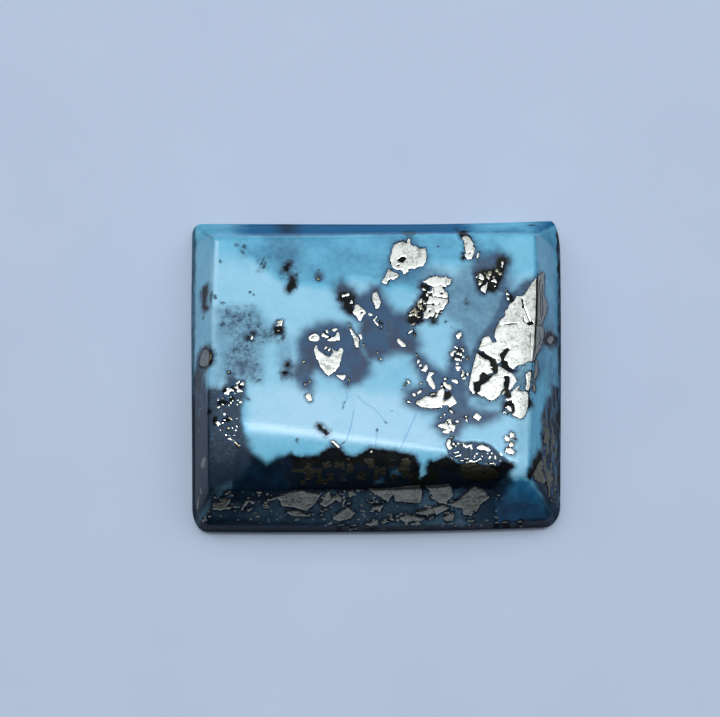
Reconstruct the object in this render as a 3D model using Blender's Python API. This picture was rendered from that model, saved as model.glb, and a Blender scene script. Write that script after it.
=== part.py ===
"""A polished turquoise cabochon: a rectangular stone with a flat base, four bevels and a low-domed table.

The stone lies on its base, +Z up, in metres. X runs along its longer side, and the side toward -Y, the front,
is the one where the table rolls over most. The origin is the middle of the bottom of its bounding box.

It is one solid, lofted from the rounded outline of the base, through the outline at the top of the girdle, to
the sharp-cornered outline of the table, which the dome closes.
"""

from dataclasses import dataclass

import bmesh
import bpy
import numpy as np

MM = 0.001


@dataclass(frozen=True)
class Corner:
    """A corner of an outline seen from above, given as the point where its two straight sides would meet.

    round_x and round_y are how far its rounding reaches along the side that runs along X and along Y.
    """

    x: float
    y: float
    round_x: float
    round_y: float


@dataclass(frozen=True)
class Side:
    """How a side leaves the straight line between its corners.

    bow is how far its middle stands outward. wave is how far the quarter after its first corner is pushed
    outward, and the quarter before its last corner inward.
    """

    bow: float
    wave: float


@dataclass(frozen=True)
class Roll:
    """Where the table bends down toward a side: the width of the bend, and its slope where the table ends.

    Each is given at the side's first corner and at its last, and changes evenly between them.
    """

    widths: tuple[float, float]
    slopes: tuple[float, float]


# Driving dimensions. Corners run front left, front right, back right, back left, and side number i starts at
# corner number i, so the sides run front, right, back, left.

BASE_CORNERS = (
    Corner(-9.86 * MM, -8.82 * MM, 0.75 * MM, 1.35 * MM),
    Corner(9.86 * MM, -8.54 * MM, 0.85 * MM, 1.15 * MM),
    Corner(10.06 * MM, 9.07 * MM, 0.50 * MM, 2.00 * MM),
    Corner(-10.03 * MM, 8.88 * MM, 0.45 * MM, 0.65 * MM),
)
BASE_SIDES = (
    Side(0.14 * MM, -0.01 * MM),
    Side(0.06 * MM, -0.01 * MM),
    Side(-0.12 * MM, -0.03 * MM),
    Side(0.05 * MM, 0.02 * MM),
)

GIRDLE_HEIGHT = 0.90 * MM
GIRDLE_INSETS = (
    (0.22 * MM, 0.03 * MM),
    (0.22 * MM, 0.03 * MM),
    (0.45 * MM, 0.48 * MM),
    (0.24 * MM, 0.50 * MM),
)

TABLE_CORNERS = (
    Corner(-8.90 * MM, -7.36 * MM, 0.05 * MM, 0.05 * MM),
    Corner(8.06 * MM, -6.67 * MM, 0.05 * MM, 0.05 * MM),
    Corner(8.58 * MM, 6.90 * MM, 0.05 * MM, 0.05 * MM),
    Corner(-8.70 * MM, 6.76 * MM, 0.05 * MM, 0.05 * MM),
)
TABLE_SIDES = (
    Side(0.41 * MM, -0.10 * MM),
    Side(0.11 * MM, -0.14 * MM),
    Side(-0.10 * MM, 0.06 * MM),
    Side(0.11 * MM, -0.04 * MM),
)

DOME_HEIGHT = 3.75 * MM
DOME_RADIUS_X = 250 * MM
DOME_RADIUS_Y = 215 * MM
TABLE_ROLLS = (
    Roll((4.2 * MM, 0.6 * MM), (0.32, 0.42)),
    Roll((0.9 * MM, 0.9 * MM), (0.20, 0.20)),
    Roll((1.0 * MM, 1.0 * MM), (0.18, 0.18)),
    Roll((0.5 * MM, 0.5 * MM), (0.15, 0.15)),
)

ARC_STEPS = 4
LONG_STEPS = 16
SHORT_STEPS = 12
CORNER_SHARE = 0.03
SHARP_ANGLE = np.radians(22.0)


def place(corner):
    """The corner's point as an array."""
    return np.array((corner.x, corner.y))


def inset(corners, insets):
    """The corners moved toward the middle of the outline by their insets along X and along Y."""
    return tuple(
        Corner(c.x - np.sign(c.x) * dx, c.y - np.sign(c.y) * dy, c.round_x, c.round_y)
        for c, (dx, dy) in zip(corners, insets)
    )


def side_points(start, end, side, shares):
    """Points of a side at the given shares of the way from its start to its end."""
    chord = place(end) - place(start)
    outward = np.array((chord[1], -chord[0])) / np.linalg.norm(chord)
    away = side.bow * 4 * shares * (1 - shares) + side.wave * np.sin(2 * np.pi * shares)
    return place(start) + shares[:, None] * chord + away[:, None] * outward


def corner_arc(start, middle, end, steps):
    """An elliptic quarter turn from start to end, whose tangents there both meet in middle."""
    turn = np.linspace(0, 1, steps + 1)[:, None]
    weights = (1 - turn) ** 2, np.sqrt(2) * turn * (1 - turn), turn**2
    blend = weights[0] * start + weights[1] * middle + weights[2] * end
    return blend / sum(weights)


def tangent_crossing(before, after):
    """Where the line that ends the points in before meets the line that starts the points in after."""
    leaving = before[-1] - before[-2]
    arriving = after[0] - after[1]
    reach = np.linalg.solve(np.column_stack((leaving, -arriving)), after[0] - before[-1])
    return before[-1] + reach[0] * leaving


def rounded_sides(corners, sides):
    """The outline as four rows of points, one a side, which meet in the middle of each corner's rounding."""
    straights = []
    for i, side in enumerate(sides):
        start, end = corners[i], corners[(i + 1) % 4]
        length = np.linalg.norm(place(end) - place(start))
        rounds = (start.round_x, end.round_x) if i % 2 == 0 else (start.round_y, end.round_y)
        steps = LONG_STEPS if i % 2 == 0 else SHORT_STEPS
        shares = np.linspace(rounds[0] / length, 1 - rounds[1] / length, steps + 1)
        straights.append(side_points(start, end, side, shares))
    arcs = []
    for i in range(4):
        before, after = straights[i - 1], straights[i]
        middle = tangent_crossing(before, after)
        arcs.append(corner_arc(before[-1], middle, after[0], 2 * ARC_STEPS))
    rows = []
    for i in range(4):
        first, last = arcs[i][ARC_STEPS:-1], arcs[(i + 1) % 4][1:ARC_STEPS + 1]
        rows.append(np.concatenate((first, straights[i], last)))
    return rows


def sharp_sides(corners, sides):
    """The outline as four rows of points that meet in its corners, with the rows' ends closely spaced."""
    rows = []
    for i, side in enumerate(sides):
        steps = LONG_STEPS if i % 2 == 0 else SHORT_STEPS
        near = np.linspace(0, CORNER_SHARE, ARC_STEPS + 1)
        inner = np.linspace(CORNER_SHARE, 1 - CORNER_SHARE, steps + 1)
        shares = np.concatenate((near[:-1], inner, 1 - near[-2::-1]))
        rows.append(side_points(corners[i], corners[(i + 1) % 4], side, shares))
    return rows


def dome(points):
    """The table's height: a shallow dome, less a drop that grows with the square of the way into each roll."""
    height = DOME_HEIGHT - points[..., 0] ** 2 / (2 * DOME_RADIUS_X) - points[..., 1] ** 2 / (2 * DOME_RADIUS_Y)
    for i, roll in enumerate(TABLE_ROLLS):
        start, end = place(TABLE_CORNERS[i]), place(TABLE_CORNERS[(i + 1) % 4])
        length = np.linalg.norm(end - start)
        chord = (end - start) / length
        share = np.clip((points - start) @ chord / length, 0, 1)
        width = roll.widths[0] + share * (roll.widths[1] - roll.widths[0])
        slope = roll.slopes[0] + share * (roll.slopes[1] - roll.slopes[0])
        distance = (points - start) @ np.array((-chord[1], chord[0]))
        into = np.clip(1 - distance / width, 0, None)
        height = height - slope * width / 2 * into**2
    return height


def coons_patch(front, right, back, left):
    """A grid of points between four rows: the two ruled surfaces added, less the corners' bilinear one."""
    across = np.linalg.norm(np.diff(front, axis=0), axis=1).cumsum()
    along = np.linalg.norm(np.diff(right, axis=0), axis=1).cumsum()
    s = np.concatenate(((0.0,), across / across[-1]))[:, None, None]
    t = np.concatenate(((0.0,), along / along[-1]))[None, :, None]
    back, left = back[::-1], left[::-1]
    ruled_y = (1 - t) * front[:, None] + t * back[:, None]
    ruled_x = (1 - s) * left[None] + s * right[None]
    corners = (1 - s) * ((1 - t) * front[0] + t * back[0]) + s * ((1 - t) * front[-1] + t * back[-1])
    return ruled_y + ruled_x - corners


def closed(rows):
    """Four rows as one ring, with the point that two rows share kept once."""
    return np.concatenate([row[:-1] for row in rows])


def build_stone():
    """The stone's mesh: base, girdle, bevels and table, as one closed body."""
    base = closed(rounded_sides(BASE_CORNERS, BASE_SIDES))
    girdle = closed(rounded_sides(inset(BASE_CORNERS, GIRDLE_INSETS), BASE_SIDES))
    table_rows = sharp_sides(TABLE_CORNERS, TABLE_SIDES)
    table = coons_patch(*table_rows)
    box_middle = (base.min(axis=0) + base.max(axis=0)) / 2

    body = bmesh.new()

    def add_points(points, heights):
        placed = points - box_middle
        return [body.verts.new((*point, height)) for point, height in zip(placed, heights)]

    base_ring = add_points(base, np.zeros(len(base)))
    girdle_ring = add_points(girdle, np.full(len(girdle), GIRDLE_HEIGHT))
    columns, rows = table.shape[:2]
    grid_points = add_points(table.reshape(-1, 2), dome(table).ravel())
    grid = [grid_points[i * rows:(i + 1) * rows] for i in range(columns)]
    table_ring = (
        [grid[i][0] for i in range(columns - 1)]
        + [grid[-1][j] for j in range(rows - 1)]
        + [grid[i][-1] for i in range(columns - 1, 0, -1)]
        + [grid[0][j] for j in range(rows - 1, 0, -1)]
    )

    body.faces.new(reversed(base_ring))
    for lower, upper in ((base_ring, girdle_ring), (girdle_ring, table_ring)):
        for i in range(len(lower)):
            after = (i + 1) % len(lower)
            body.faces.new((lower[i], lower[after], upper[after], upper[i]))
    for i in range(columns - 1):
        for j in range(rows - 1):
            body.faces.new((grid[i][j], grid[i + 1][j], grid[i + 1][j + 1], grid[i][j + 1]))

    mesh = bpy.data.meshes.new("turquoise_stone")
    body.to_mesh(mesh)
    body.free()
    mesh.shade_smooth()
    mesh.set_sharp_from_angle(angle=SHARP_ANGLE)
    return mesh


def turquoise():
    """Polished turquoise."""
    material = bpy.data.materials.new("turquoise")
    material.use_nodes = True
    shader = material.node_tree.nodes["Principled BSDF"]
    shader.inputs["Base Color"].default_value = (0.16, 0.46, 0.66, 1.0)
    shader.inputs["Roughness"].default_value = 0.18
    shader.inputs["Metallic"].default_value = 0.0
    shader.inputs["IOR"].default_value = 1.61
    return material


def main():
    """Clears the scene and builds the cabochon in its own collection."""
    for scene_object in list(bpy.data.objects):
        bpy.data.objects.remove(scene_object, do_unlink=True)
    collection = bpy.data.collections.new("turquoise_cabochon")
    bpy.context.scene.collection.children.link(collection)
    mesh = build_stone()
    mesh.materials.append(turquoise())
    collection.objects.link(bpy.data.objects.new("turquoise_stone", mesh))


if __name__ == "__main__":
    main()
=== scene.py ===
"""Dresses a polished turquoise cabochon with pyrite grains and black matrix, and lights it on a pale floor.

The stone is one closed mesh, worked out from the same outlines as the solid it stands for. Its colour zones
are painted into vertex attributes as distances and weights, and the grains of pyrite are thin closed plates
let into its surface. The scene is in metres, +Z up, with the origin at the middle of the stone's footprint.
The sizes and outlines below are in millimetres, apart from the studio's.
"""

import logging
from dataclasses import dataclass
from enum import Enum, IntEnum

import bpy
import numpy as np
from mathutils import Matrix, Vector


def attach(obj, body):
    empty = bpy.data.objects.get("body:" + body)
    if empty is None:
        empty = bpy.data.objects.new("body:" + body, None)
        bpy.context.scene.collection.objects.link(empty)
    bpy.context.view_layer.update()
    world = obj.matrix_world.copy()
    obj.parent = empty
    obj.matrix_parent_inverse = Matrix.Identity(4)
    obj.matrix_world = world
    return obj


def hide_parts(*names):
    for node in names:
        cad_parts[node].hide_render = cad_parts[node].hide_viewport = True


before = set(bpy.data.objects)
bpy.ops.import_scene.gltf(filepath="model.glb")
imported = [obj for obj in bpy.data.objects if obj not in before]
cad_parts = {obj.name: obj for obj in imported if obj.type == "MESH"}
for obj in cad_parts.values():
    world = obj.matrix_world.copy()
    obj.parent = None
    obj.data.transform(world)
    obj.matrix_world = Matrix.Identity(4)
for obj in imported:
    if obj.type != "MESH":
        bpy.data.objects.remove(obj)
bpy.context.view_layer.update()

MM = 0.001
SHARP_ANGLE = np.radians(40)
Array = np.ndarray
Span = tuple[float, ...]
Object = bpy.types.Object
Socket = bpy.types.NodeSocket
log = logging.getLogger("cabochon")


def mm(*numbers: float) -> Array:
    """Points in metres from a run of x, y pairs in millimetres."""
    return np.array(numbers).reshape(-1, 2) * MM


def oval(x: float, y: float, reach_x: float, reach_y: float | None = None) -> Array:
    """An ellipse's outline, as twelve points in metres.

    Args:
        x: Middle along X, in millimetres.
        y: Middle along Y, in millimetres.
        reach_x: Half its width, in millimetres.
        reach_y: Half its height, in millimetres, or the same as reach_x.

    Returns:
        The points, turning left.
    """
    turn = np.linspace(0, 2 * np.pi, 12, endpoint=False)
    points = np.column_stack((x + reach_x * np.cos(turn), y + (reach_y or reach_x) * np.sin(turn)))
    return points * MM


def eased(values: Array, low: float, high: float) -> Array:
    """A smooth step from 0 at low to 1 at high: 3 share**2 - 2 share**3."""
    share = np.clip((values - low) / (high - low), 0, 1)
    return share * share * (3 - 2 * share)


def noise(points: Array, size: float, seed: int) -> Array:
    """Smooth noise between -1 and 1: random values on a cubic lattice, blended with an eased weight.

    Args:
        points: Places in metres, three numbers each.
        size: The lattice's spacing in metres.
        seed: The seed of the lattice's values.

    Returns:
        One value for each point.
    """
    count = 64
    values = np.random.default_rng(int(seed)).uniform(-1, 1, (count, count, count))
    spot = points / size
    cell = np.floor(spot).astype(int)
    share = eased(spot - cell, 0, 1)
    low, high = cell % count, (cell + 1) % count
    blend = np.zeros(len(points))
    for x, weight_x in ((low[:, 0], 1 - share[:, 0]), (high[:, 0], share[:, 0])):
        for y, weight_y in ((low[:, 1], 1 - share[:, 1]), (high[:, 1], share[:, 1])):
            for z, weight_z in ((low[:, 2], 1 - share[:, 2]), (high[:, 2], share[:, 2])):
                blend += values[x, y, z] * weight_x * weight_y * weight_z
    return blend


def depth_in(points: Array, outline: Array) -> Array:
    """How far points lie inside an outline: the distance to its nearest edge, less than zero outside it.

    A point is inside when a line drawn from it along +X crosses the outline an odd number of times.

    Args:
        points: Places in plan, two numbers each.
        outline: The outline's corners.

    Returns:
        One distance for each point.
    """
    start, end = outline, np.roll(outline, -1, axis=0)
    edge = end - start
    offset = points[:, None] - start
    share = np.clip((offset * edge).sum(-1) / (edge**2).sum(-1), 0, 1)
    gap = offset - share[..., None] * edge
    distance = np.sqrt((gap**2).sum(-1).min(axis=1))
    y = points[:, 1, None]
    spans = (start[:, 1] > y) != (end[:, 1] > y)
    rise = np.where(edge[:, 1] == 0, 1.0, edge[:, 1])
    ahead = points[:, 0, None] < start[:, 0] + (y - start[:, 1]) * edge[:, 0] / rise
    inside = (spans & ahead).sum(axis=1) % 2 == 1
    return np.where(inside, distance, -distance)


def depth_in_any(points: Array, outlines: tuple[Array, ...], reach: float) -> Array:
    """The greatest depth in any of the outlines, or minus reach where none is nearer than that.

    Args:
        points: Places in plan.
        outlines: The outlines.
        reach: The greatest distance outside them that counts.

    Returns:
        One depth for each point.
    """
    depth = np.full(len(points), -reach)
    for outline in outlines:
        low, high = outline.min(axis=0) - reach, outline.max(axis=0) + reach
        near = np.flatnonzero(((points > low) & (points < high)).all(axis=1))
        if near.size:
            depth[near] = np.maximum(depth[near], depth_in(points[near], outline))
    return depth


def gap_to_any(points: Array, lines: tuple[Array, ...], reach: float) -> Array:
    """The distance to the nearest of several open lines, or reach where none is nearer than that.

    Args:
        points: Places in plan.
        lines: The lines.
        reach: The greatest distance that counts.

    Returns:
        One distance for each point.
    """
    nearest = np.full(len(points), reach)
    for line in lines:
        for start, end in zip(line[:-1], line[1:]):
            edge = end - start
            offset = points - start
            share = np.clip(offset @ edge / (edge @ edge), 0, 1)
            nearest = np.minimum(nearest, np.linalg.norm(offset - share[:, None] * edge, axis=1))
    return nearest


def unit(vectors: Array) -> Array:
    """The vectors at length one."""
    return vectors / np.maximum(np.linalg.norm(vectors, axis=-1, keepdims=True), 1e-12)


def closed(rows: list[Array]) -> Array:
    """Four rows as one ring, with the point that two rows share kept once."""
    return np.concatenate([row[:-1] for row in rows])


def linear(colour: str) -> tuple[float, float, float, float]:
    """A hex colour in sRGB as linear red, green, blue and alpha.

    Args:
        colour: The hex colour.

    Returns:
        Four numbers from 0 to 1.
    """
    share = np.array([int(colour[i:i + 2], 16) for i in (1, 3, 5)]) / 255
    light = np.where(share <= 0.04045, share / 12.92, ((share + 0.055) / 1.055) ** 2.4)
    return (*light.tolist(), 1.0)


@dataclass(frozen=True)
class Corner:
    """A corner of an outline in plan, where its straight sides would meet, and its rounding's reach."""

    x: float
    y: float
    round_x: float = 0.0
    round_y: float = 0.0

    @property
    def point(self) -> Array:
        """The corner as an array, in metres."""
        return np.array((self.x, self.y)) * MM


@dataclass(frozen=True)
class Side:
    """How far a side's middle stands outward, and how far its first quarter does while its last goes in."""

    bow: float
    wave: float


@dataclass(frozen=True)
class Roll:
    """The widths and slopes of the table's bend toward a side, at the side's first corner and its last."""

    widths: tuple[float, float]
    slopes: tuple[float, float]


@dataclass(frozen=True)
class Detail:
    """How finely the surfaces are divided: steps round a corner, along each side and down each face."""

    arc: int
    long_side: int
    short_side: int
    bevel: int
    girdle: int


@dataclass(frozen=True)
class StoneForm:
    """The cabochon's shape, in millimetres, as the solid has it.

    Corners run front left, front right, back right, back left, and sides run front, right, back, left. The
    table is a shallow dome that rolls down toward each side. Below it the bevels fall to the girdle, and the
    girdle to the base.
    """

    base_corners: tuple[Corner, ...] = (
        Corner(-9.86, -8.82, 0.75, 1.35),
        Corner(9.86, -8.54, 0.85, 1.15),
        Corner(10.06, 9.07, 0.5, 2.0),
        Corner(-10.03, 8.88, 0.45, 0.65),
    )
    base_sides: tuple[Side, ...] = (
        Side(0.14, -0.01), Side(0.06, -0.01), Side(-0.12, -0.03), Side(0.05, 0.02),
    )
    girdle_height: float = 0.9
    girdle_insets: tuple[tuple[float, float], ...] = (
        (0.22, 0.03), (0.22, 0.03), (0.45, 0.48), (0.24, 0.5),
    )
    table_corners: tuple[Corner, ...] = (
        Corner(-8.9, -7.36), Corner(8.06, -6.67), Corner(8.58, 6.9), Corner(-8.7, 6.76),
    )
    table_sides: tuple[Side, ...] = (
        Side(0.41, -0.1), Side(0.11, -0.14), Side(-0.1, 0.06), Side(0.11, -0.04),
    )
    dome_height: float = 3.75
    dome_radius_x: float = 250.0
    dome_radius_y: float = 215.0
    rolls: tuple[Roll, ...] = (
        Roll((4.2, 0.6), (0.32, 0.42)),
        Roll((0.9, 0.9), (0.2, 0.2)),
        Roll((1.0, 1.0), (0.18, 0.18)),
        Roll((0.5, 0.5), (0.15, 0.15)),
    )
    corner_share: float = 0.03
    back_bulge: float = 0.12
    edge_reach: float = 0.12
    edge_steps: int = 3
    base_rings: int = 8
    last_ring: float = 0.05

    def side_points(self, start: Corner, end: Corner, side: Side, shares: Array) -> Array:
        """Points of a side: its chord, and outward from it 4 bow s (1 - s) + wave sin(2 pi s).

        Args:
            start: Its first corner.
            end: Its last corner.
            side: How it leaves its chord.
            shares: Shares s of the way along it.

        Returns:
            One point for each share.
        """
        chord = end.point - start.point
        outward = np.array((chord[1], -chord[0])) / np.linalg.norm(chord)
        away = side.bow * MM * 4 * shares * (1 - shares) + side.wave * MM * np.sin(2 * np.pi * shares)
        return start.point + shares[:, None] * chord + away[:, None] * outward

    def corner_arc(self, before: Array, after: Array, steps: int) -> Array:
        """An elliptic quarter turn that joins two sides, tangent to their last and first steps.

        Args:
            before: The points of the side that ends here.
            after: The points of the side that starts here.
            steps: How many steps the turn takes.

        Returns:
            The turn's points, the first and last on the sides.
        """
        leaving, arriving = before[-1] - before[-2], after[0] - after[1]
        reach = np.linalg.solve(np.column_stack((leaving, -arriving)), after[0] - before[-1])
        middle = before[-1] + reach[0] * leaving
        turn = np.linspace(0, 1, steps + 1)[:, None]
        weights = (1 - turn) ** 2, np.sqrt(2) * turn * (1 - turn), turn**2
        blend = weights[0] * before[-1] + weights[1] * middle + weights[2] * after[0]
        return blend / sum(weights)

    def rounded_sides(self, corners: tuple[Corner, ...], detail: Detail) -> list[Array]:
        """The base's or girdle's outline as four rows, which meet in the middles of the rounded corners.

        Args:
            corners: The outline's corners.
            detail: How finely to divide it.

        Returns:
            The rows of points.
        """
        straights = []
        for i, side in enumerate(self.base_sides):
            start, end = corners[i], corners[(i + 1) % 4]
            length = np.linalg.norm(end.point - start.point) / MM
            along_x = i % 2 == 0
            rounds = (start.round_x, end.round_x) if along_x else (start.round_y, end.round_y)
            steps = detail.long_side if along_x else detail.short_side
            shares = np.linspace(rounds[0] / length, 1 - rounds[1] / length, steps + 1)
            straights.append(self.side_points(start, end, side, shares))
        arcs = [self.corner_arc(straights[i - 1], straights[i], 2 * detail.arc) for i in range(4)]
        rows = []
        for i in range(4):
            first, last = arcs[i][detail.arc:-1], arcs[(i + 1) % 4][1:detail.arc + 1]
            rows.append(np.concatenate((first, straights[i], last)))
        return rows

    def sharp_sides(self, detail: Detail) -> list[Array]:
        """The table's outline as four rows that meet in its corners, with the rows' ends closely spaced.

        Args:
            detail: How finely to divide it.

        Returns:
            The rows of points.
        """
        rows = []
        for i, side in enumerate(self.table_sides):
            steps = detail.long_side if i % 2 == 0 else detail.short_side
            near = np.linspace(0, self.corner_share, detail.arc + 1)
            inner = np.linspace(self.corner_share, 1 - self.corner_share, steps + 1)
            shares = np.concatenate((near[:-1], inner, 1 - near[-2::-1]))
            start, end = self.table_corners[i], self.table_corners[(i + 1) % 4]
            rows.append(self.side_points(start, end, side, shares))
        return rows

    def girdle_corners(self) -> tuple[Corner, ...]:
        """The base's corners moved toward the middle by the girdle's insets."""
        return tuple(
            Corner(c.x - np.sign(c.x) * dx, c.y - np.sign(c.y) * dy, c.round_x, c.round_y)
            for c, (dx, dy) in zip(self.base_corners, self.girdle_insets)
        )

    def dome(self, points: Array) -> Array:
        """The table's height: a paraboloid, less slope / 2 * width * into**2 for the way into each roll.

        Args:
            points: Places in plan, in metres.

        Returns:
            One height for each place, in metres.
        """
        x, y = points[..., 0] / MM, points[..., 1] / MM
        height = self.dome_height - x**2 / (2 * self.dome_radius_x) - y**2 / (2 * self.dome_radius_y)
        for i, roll in enumerate(self.rolls):
            start, end = self.table_corners[i].point / MM, self.table_corners[(i + 1) % 4].point / MM
            length = np.linalg.norm(end - start)
            chord = (end - start) / length
            offset = points / MM - start
            share = np.clip(offset @ chord / length, 0, 1)
            width = roll.widths[0] + share * (roll.widths[1] - roll.widths[0])
            slope = roll.slopes[0] + share * (roll.slopes[1] - roll.slopes[0])
            into = np.clip(1 - offset @ np.array((-chord[1], chord[0])) / width, 0, None)
            height = height - slope * width / 2 * into**2
        return height * MM

    @staticmethod
    def coons(rows: list[Array]) -> Array:
        """A grid between four rows: the two ruled surfaces added, less the corners' bilinear one.

        Args:
            rows: The front, right, back and left row.

        Returns:
            The grid's points.
        """
        front, right, back, left = rows[0], rows[1], rows[2][::-1], rows[3][::-1]
        across = np.linalg.norm(np.diff(front, axis=0), axis=1).cumsum()
        along = np.linalg.norm(np.diff(right, axis=0), axis=1).cumsum()
        s = np.concatenate(((0.0,), across / across[-1]))[:, None, None]
        t = np.concatenate(((0.0,), along / along[-1]))[None, :, None]
        ruled = (1 - t) * front[:, None] + t * back[:, None] + (1 - s) * left[None] + s * right[None]
        corners = (1 - s) * ((1 - t) * front[0] + t * back[0]) + s * ((1 - t) * front[-1] + t * back[-1])
        return ruled - corners

    @staticmethod
    def border(columns: int, rows: int) -> tuple[Array, Array]:
        """The grid numbers of a grid's border, in the order of a ring: front, right, back, left.

        Args:
            columns: How many columns the grid has.
            rows: How many rows it has.

        Returns:
            The border's column numbers and its row numbers.
        """
        i = np.concatenate((np.arange(columns - 1), np.full(rows - 1, columns - 1),
                            np.arange(columns - 1, 0, -1), np.zeros(rows - 1, int)))
        j = np.concatenate((np.zeros(columns - 1, int), np.arange(rows - 1),
                            np.full(columns - 1, rows - 1), np.arange(rows - 1, 0, -1)))
        return i, j

    def spread(self, length: Array, steps: int) -> Array:
        """Distances across a face, closely spaced by both its edges and even between, as rows.

        Args:
            length: The face's length at each place along it.
            steps: How many even steps it has.

        Returns:
            One row of distances for each step.
        """
        reach = self.edge_reach * MM
        near = np.linspace(0, reach, self.edge_steps + 1)[:-1, None] * np.ones_like(length)
        middle = reach + (length - 2 * reach) * np.linspace(0, 1, steps + 1)[:, None]
        return np.concatenate((near, middle, length - near[::-1]))

    def fading(self, distance: Array) -> Array:
        """How much of an edge's rounding is left at a distance from it: (1 - distance / reach)**2."""
        return np.clip(1 - distance / (self.edge_reach * MM), 0, None) ** 2

    def softening(self, ring: Array, upper: Array, lower: Array, tangents: Array) -> Array:
        """How an edge's points move inward when it is rounded: a quarter of the reach along both its faces.

        Args:
            ring: The edge's points.
            upper: Directions from them into the face above.
            lower: Directions from them into the face below.
            tangents: Directions along the edge.

        Returns:
            One shift for each point.
        """
        along = unit(tangents)
        shift = np.zeros_like(ring)
        for way in (upper, lower):
            shift += unit(way - (way * along).sum(axis=-1, keepdims=True) * along)
        return shift * self.edge_reach * MM / 4

    def surfaces(self, detail: Detail) -> tuple[Array, Array]:
        """The table and the walls as grids of points in metres.

        The walls' columns run round the stone. Their first row is the table's border, and their last rows
        run in under the stone, round smaller and smaller rings.

        Args:
            detail: How finely to divide them.

        Returns:
            The table's grid and the walls' grid.
        """
        base = closed(self.rounded_sides(self.base_corners, detail))
        girdle = closed(self.rounded_sides(self.girdle_corners(), detail))
        middle = (base.min(axis=0) + base.max(axis=0)) / 2
        rows = self.sharp_sides(detail)
        plan = self.coons(rows)
        table = np.dstack((plan, self.dome(plan)))
        edge = closed(rows)
        edge = np.column_stack((edge, self.dome(edge)))
        girdle = np.column_stack((girdle, np.full(len(girdle), self.girdle_height * MM)))
        base = np.column_stack((base, np.zeros(len(base))))

        table = self.soften_table(table, girdle, rows)
        i, j = self.border(*table.shape[:2])
        table_shift = table[i, j] - edge
        tangents = [np.roll(ring, -1, axis=0) - np.roll(ring, 1, axis=0) for ring in (girdle, base)]
        inward = unit(np.column_stack((-tangents[1][:, 1], tangents[1][:, 0], np.zeros(len(base)))))
        girdle_shift = self.softening(girdle, edge - girdle, base - girdle, tangents[0])
        base_shift = self.softening(base, girdle - base, inward, tangents[1])

        bevel_length = np.linalg.norm(girdle - edge, axis=1)
        girdle_length = np.linalg.norm(base - girdle, axis=1)
        down_bevel = self.spread(bevel_length, detail.bevel)[..., None]
        down_girdle = self.spread(girdle_length, detail.girdle)[1:, :, None]
        onto_base = np.linspace(0, self.edge_reach * MM, self.edge_steps + 1)[1:, None, None]
        bulge = self.back_bulge * MM * np.clip(-unit(tangents[0])[:, :1], 0, 1) ** 2
        share = down_bevel / bevel_length[:, None]
        outward = unit(np.cross(tangents[0], edge - girdle))
        bevel_part = edge + unit(girdle - edge) * down_bevel + outward * bulge * 4 * share * (1 - share)
        bevel_part = bevel_part + table_shift * self.fading(down_bevel)
        bevel_part = bevel_part + girdle_shift * self.fading(bevel_length[:, None] - down_bevel)
        girdle_part = girdle + unit(base - girdle) * down_girdle + girdle_shift * self.fading(down_girdle)
        girdle_part = girdle_part + base_shift * self.fading(girdle_length[:, None] - down_girdle)
        base_part = base + inward * onto_base + base_shift * self.fading(onto_base)
        rings = base_part[-1] * np.linspace(1, self.last_ring, self.base_rings + 1)[1:, None, None]
        walls = np.concatenate((bevel_part, girdle_part, base_part, rings))
        for grid in (table, walls):
            grid[..., :2] -= middle
        return table, walls

    def soften_table(self, table: Array, girdle: Array, rows: list[Array]) -> Array:
        """The table's grid with its border rounded over toward the bevels.

        Args:
            table: The grid.
            girdle: The ring that the bevels run down to.
            rows: The table's outline as four rows.

        Returns:
            The grid, with each point within the rounding's reach of a side moved down and inward.
        """
        rounded = table.copy()
        start = 0
        for side, row in enumerate(rows):
            edge = np.column_stack((row, self.dome(row)))
            tangents = np.gradient(edge, axis=0)
            inward = np.column_stack((-tangents[:, 1], tangents[:, 0]))
            step = row + unit(inward) * self.edge_reach * MM
            ahead = np.column_stack((step, self.dome(step))) - edge
            below = np.take(girdle, np.arange(start, start + len(row)), axis=0, mode="wrap") - edge
            shift = self.softening(edge, ahead, below, tangents)
            start += len(row) - 1
            if side == 0:
                shift, edge = shift[:, None], edge[:, None]
            elif side == 1:
                shift, edge = shift[None], edge[None]
            elif side == 2:
                shift, edge = shift[::-1, None], edge[::-1, None]
            else:
                shift, edge = shift[None, ::-1], edge[None, ::-1]
            distance = np.linalg.norm((table - edge)[..., :2], axis=-1, keepdims=True)
            rounded += shift * self.fading(distance)
        return rounded


class Polish(Enum):
    """How a grain of pyrite has taken the polish; the worn and black ones are also darkened as painted
    shade.
    """

    PLATE = 0.0
    CRUMBLY = 0.1
    WORN_AND_SHADED = 0.4
    DULL = 0.7
    BLACK = 1.0


class Tone(Enum):
    """What a wash paints: the blue's depth, violet haze, grey slate, navy, freckles, or grain along Y.

    Two washes of depth also paint light and shade: a highlight on the table's left edge, and shade on the
    back.
    """

    DEPTH = "depth"
    HAZE = "haze"
    SLATE = "slate"
    NAVY = "navy"
    FRECKLE = "freckle"
    STREAK = "streak"


class Seed(IntEnum):
    """The seeds of the noises."""

    WANDER_X = 11
    WANDER_Y = 12
    VEIN = 21
    RAGGED = 22
    GIRDLE = 23
    DIMPLE = 24
    STREWN = 30


@dataclass(frozen=True)
class Wash:
    """A soft-edged area of the stone, in which a tone comes to a value."""

    value: float
    softness: float
    outline: Array


@dataclass(frozen=True)
class Strewn:
    """An area strewn with fine pyrite, wherever a noise passes a level.

    polish is the grains', size is the noise's spacing, and stretch is how many times longer than wide the
    grains are.
    """

    polish: Polish
    size: float
    level: float
    stretch: float
    outline: Array


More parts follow.
